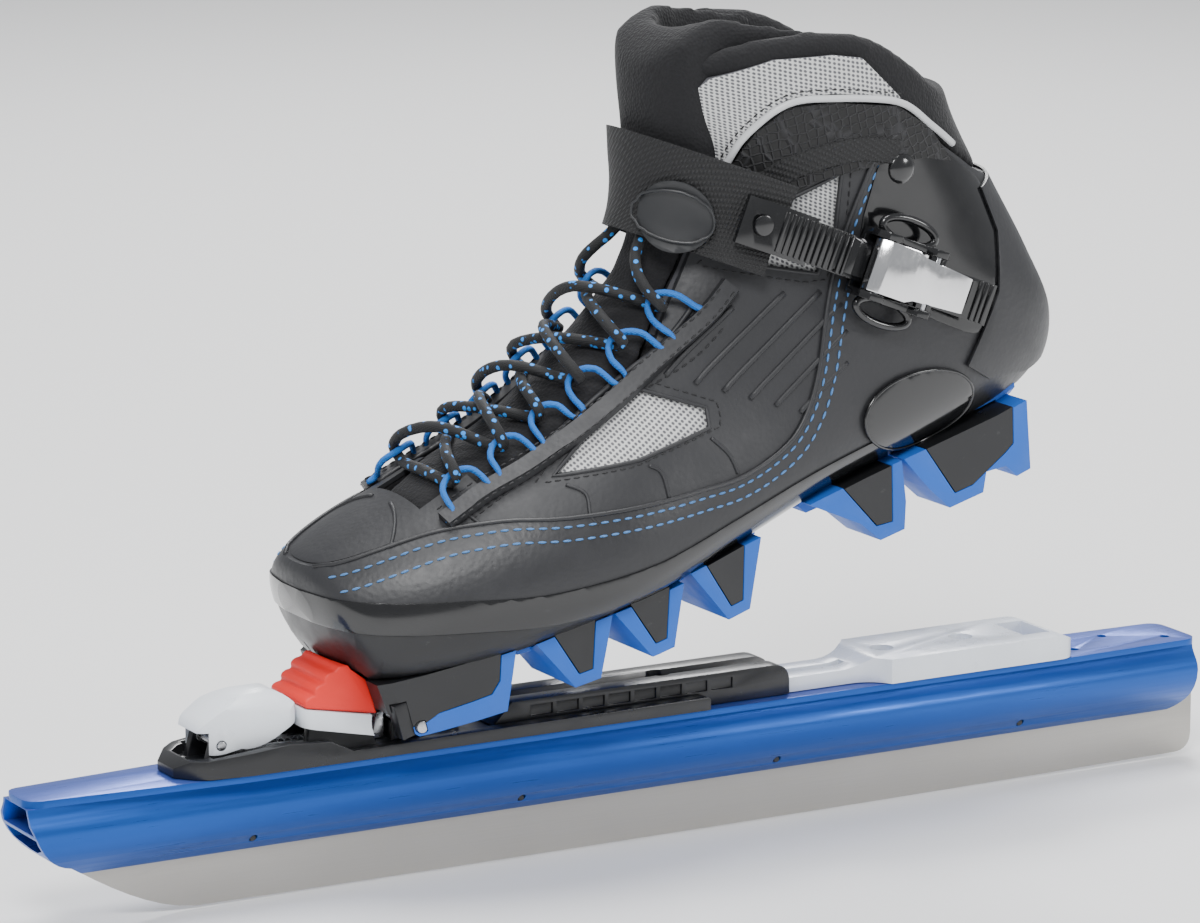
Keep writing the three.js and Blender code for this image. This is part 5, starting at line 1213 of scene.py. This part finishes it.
class SKATE_OT_strap(Maker):
    """Ankle strap of webbing with its plain badge and anchor"""
    bl_idname = "skate.strap"
    bl_label = "Ankle strap"

    ANGLE = math.radians(-37)
    CENTRE = (163, 112)
    HALF = 15.5
    BADGE = (13, 11.5)      # half sizes of the oval
    BADGE_TOP = 10.2        # height above the form
    RIM_IN = 1.6            # from the oval's edge to its rim

    def along(self, run, across):
        """A point in side view, by place along the strap and across it."""
        c, s = math.cos(self.ANGLE), math.sin(self.ANGLE)
        return (self.CENTRE[0] + run * c - across * s, self.CENTRE[1] + run * s + across * c)

    def strip(self, start, end, y0, y1):
        """A cutter as wide as the strap."""
        return prism([self.along(start, -self.HALF), self.along(end, -self.HALF),
                      self.along(end, self.HALF), self.along(start, self.HALF)], y0, y1)

    def execute(self, context):
        band = boot_skin("ankle_strap_finished", -8.4, -6.2)
        room = cut(self.strip(-80, 0, -90, 0), self.strip(-80, 30, -0.1, 90), "UNION")
        cut(band, room, "INTERSECT")
        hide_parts("ankle_strap")
        settle(band, "webbing", "strap", 32, 0.0005)
        crisp("strap_anchor", "webbing", "boot", 0.0004)
        self.badge()
        for node, body in (("strap_anchor_rivet", "boot"), ("arm_rivet_outer", "boot"),
                           ("arm_rivet_inner", "boot"), ("ladder_rivet", "strap")):
            crisp(node, "screw" if node.startswith("strap") else "gloss", body, 0.0003)
        return {"FINISHED"}

    def badge(self):
        """The plain oval badge on the strap over the instep, with its rim."""
        plate = boot_skin("strap_badge_finished", -self.BADGE_TOP, -8.6)
        centre = over_instep(9.8, -15)
        back = over_instep(9.9, -15) - centre
        across = (over_instep(9.8, -15.5) - centre).normalized()
        normal = across.cross(back).normalized()
        bm = bmesh.new()
        made = bmesh.ops.create_cone(bm, cap_ends=True, segments=64, radius1=1, radius2=1, depth=1)
        turn = Matrix((across, normal.cross(across), normal)).transposed().to_4x4()
        place = Matrix.Translation(centre) @ turn @ Matrix.Diagonal((*self.BADGE, 40, 1))
        bmesh.ops.transform(bm, verts=made["verts"], matrix=place)
        cut(plate, made_of(bm, "cutter"), "INTERSECT")
        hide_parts("strap_badge")
        settle(plate, "badge", "strap", 32, 0.0005)
        rim = []
        for angle in turns(48):
            spot = (centre + across * (self.BADGE[0] - self.RIM_IN) * math.cos(angle)
                    + normal.cross(across) * (self.BADGE[1] - self.RIM_IN) * math.sin(angle))
            near, facing, _, _ = form_tree().find_nearest(spot)
            rim.append(near + facing * self.BADGE_TOP)
        bead("strap_badge_rim", rim, 0.45, "badge", "strap", closed=True)


class SKATE_OT_buckle(Maker):
    """Ratchet buckle with its polished lever and the ladder strap"""
    bl_idname = "skate.buckle"
    bl_label = "Buckle"

    def execute(self, context):
        edge = self.look.edge
        crisp("buckle_base", "gloss", "boot", edge * 1.2)
        crisp("buckle_rivet", "screw", "boot", 0.0002)
        lever = copy_of("buckle_lever")
        for across in (-1, 1):
            for run, radius in ((7.5, 5.0), (11.5, 4.4)):
                cut(lever, self.post(run, across * 9.9, radius, 3.0, 7.5), "DIFFERENCE")
        dress(lever, "chrome", "buckle_lever", 35, edge * 1.2)
        for across, word in ((-13.9, "lower"), (13.9, "upper")):
            ring = [self.place(-2 + 10.5 * math.cos(a), across + 4.0 * math.sin(a), 4.4)
                    for a in turns(40)]
            bead(f"buckle_ring_{word}", ring, 1.4, "gloss", closed=True)
        self.teeth()
        crisp("buckle_lever_pin", "screw", "boot", 0.0002)
        crisp("buckle_pawl", "gloss", "buckle_pawl", edge * 0.8)
        crisp("buckle_pawl_pin", "screw", "boot", 0.0002)
        crisp("ladder_strap", "gloss", "strap", edge * 0.6)
        return {"FINISHED"}

    # The buckle's own frame, in the boot's: along the strap, outwards, and its middle.
    ALONG = Vector((0.798, -0.036, -0.601)).normalized()
    OUT = Vector((-0.028, -0.999, 0.021)).normalized()
    ORIGIN = Vector((200.536, -36.727, 83.715))

    def place(self, run, across, out):
        """A point of the buckle's own frame, in the boot's frame."""
        return (self.ORIGIN + self.ALONG * run + self.OUT.cross(self.ALONG) * across
                + self.OUT * out)

    def turn(self):
        """The buckle's own directions in the boot's frame."""
        side = self.OUT.cross(self.ALONG)
        return Matrix((self.ALONG, side, self.OUT)).transposed().to_4x4()

    def post(self, run, across, radius, squeeze, height):
        """An oval cutter square to the buckle."""
        bm = bmesh.new()
        size = Matrix.Diagonal((radius, squeeze, height * 2, 1))
        spot = Matrix.Translation(self.place(run, across, 11))
        bmesh.ops.create_cone(bm, cap_ends=True, segments=40, radius1=1, radius2=1, depth=1,
                              matrix=BOOT @ spot @ self.turn() @ size)
        return made_of(bm, "cutter")

    def teeth(self):
        """Cross bars on the outside of the ladder strap, clear of the buckle."""
        tree = BVHTree.FromObject(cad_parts["ladder_strap"],
                                  bpy.context.evaluated_depsgraph_get())
        into = (BOOT.to_3x3() @ -self.OUT).normalized()
        bm = bmesh.new()
        for step in range(40):
            run = -48 + 2.4 * step
            if -20 < run < 29:
                continue
            spot = tree.ray_cast(BOOT @ self.place(run, 0, 30), into)[0]
            if spot is None:
                continue
            size = Matrix.Diagonal((1.2, 13.6, 1.2, 1))
            bar = Matrix.Translation(BOOT_BACK @ spot + self.OUT * 0.1) @ self.turn() @ size
            bmesh.ops.create_cube(bm, size=1, matrix=bar)
        settle(made_of(bm, "ladder_bars"), "gloss", "strap", 35, 0.0003)


class SKATE_OT_stage(Maker):
    """Pale floor, soft lights and the camera"""
    bl_idname = "skate.stage"
    bl_label = "Stage"

    TARGET = Vector((-0.0135, 0.001, 0.130))
    AZIMUTH, RISE, DISTANCE = math.radians(-29.5), math.radians(12.17), 1.889
    # Each lamp's name, place, size and power.
    LAMPS = (("key", (-1.0, -1.3, 1.7), 0.8, 40), ("side", (1.5, -1.5, 0.9), 0.6, 14),
             ("rim", (0.9, 1.5, 1.4), 0.7, 26), ("top", (0, 0.1, 1.9), 1.0, 34))

    def execute(self, context):
        scene = bpy.context.scene
        bm = bmesh.new()
        bmesh.ops.create_grid(bm, x_segments=8, y_segments=8, size=30)
        floor = made_of(bm, "floor")
        paper = Recipe("paper", (0.82, 0.82, 0.82), 0.85)
        paper.bump(paper.noise(300, 2), 0.02, 0.0002)
        floor.data.materials.append(paper.material)
        floor.location.z = -0.0005
        world = bpy.data.worlds.new("studio")
        world.use_nodes = True
        backdrop = world.node_tree.nodes["Background"]
        backdrop.inputs["Color"].default_value = (0.95, 0.97, 1.0, 1)
        backdrop.inputs["Strength"].default_value = 0.5
        scene.world = world
        for name, spot, size, power in self.LAMPS:
            light = bpy.data.lights.new(name, "AREA")
            light.shape = "DISK"
            light.size = size
            light.energy = power
            self.aim(bpy.data.objects.new(name, light), Vector(spot))
        camera = bpy.data.cameras.new("camera")
        camera.sensor_width = 36
        camera.lens = 172.4
        camera.clip_end = 50
        away = Vector((math.sin(self.AZIMUTH) * math.cos(self.RISE),
                       -math.cos(self.AZIMUTH) * math.cos(self.RISE), math.sin(self.RISE)))
        scene.camera = self.aim(bpy.data.objects.new("camera", camera),
                                self.TARGET + away * self.DISTANCE)
        return {"FINISHED"}

    def aim(self, obj, spot):
        """Puts a lamp or the camera at a spot, turned to the skate."""
        obj.location = spot
        obj.rotation_euler = (self.TARGET - spot).to_track_quat("-Z", "Y").to_euler()
        bpy.context.scene.collection.objects.link(obj)
        return obj


OPERATORS = (SKATE_OT_stage, SKATE_OT_blade, SKATE_OT_binding, SKATE_OT_flexor, SKATE_OT_sole,
             SKATE_OT_shell, SKATE_OT_upper, SKATE_OT_seams, SKATE_OT_collar, SKATE_OT_tongue,
             SKATE_OT_lacing, SKATE_OT_strap, SKATE_OT_buckle)


class SKATE_PT_workshop(bpy.types.Panel):
    """Sizes, colours and makers of the skate"""
    bl_label = "Skate workshop"
    bl_idname = "SKATE_PT_workshop"
    bl_space_type = "VIEW_3D"
    bl_region_type = "UI"
    bl_category = "Skate"

    def draw(self, context):
        look = context.scene.skate_look
        for name in ("tube_color", "tread_color", "shell_color", "upper_color", "thread_color",
                     "loop_color", "fleck_color", "stitch", "thread", "edge", "ribs"):
            self.layout.prop(look, name)
        for operator in OPERATORS:
            self.layout.operator(operator.bl_idname)


CLASSES = (SkateLook, *OPERATORS, SKATE_PT_workshop)


def register():
    for cls in CLASSES:
        bpy.utils.register_class(cls)
    bpy.types.Scene.skate_look = PointerProperty(type=SkateLook)


def unregister():
    del bpy.types.Scene.skate_look
    for cls in reversed(CLASSES):
        bpy.utils.unregister_class(cls)


def main():
    register()
    for operator in OPERATORS:
        group, name = operator.bl_idname.split(".")
        getattr(getattr(bpy.ops, group), name)()


if __name__ == "__main__":
    main()
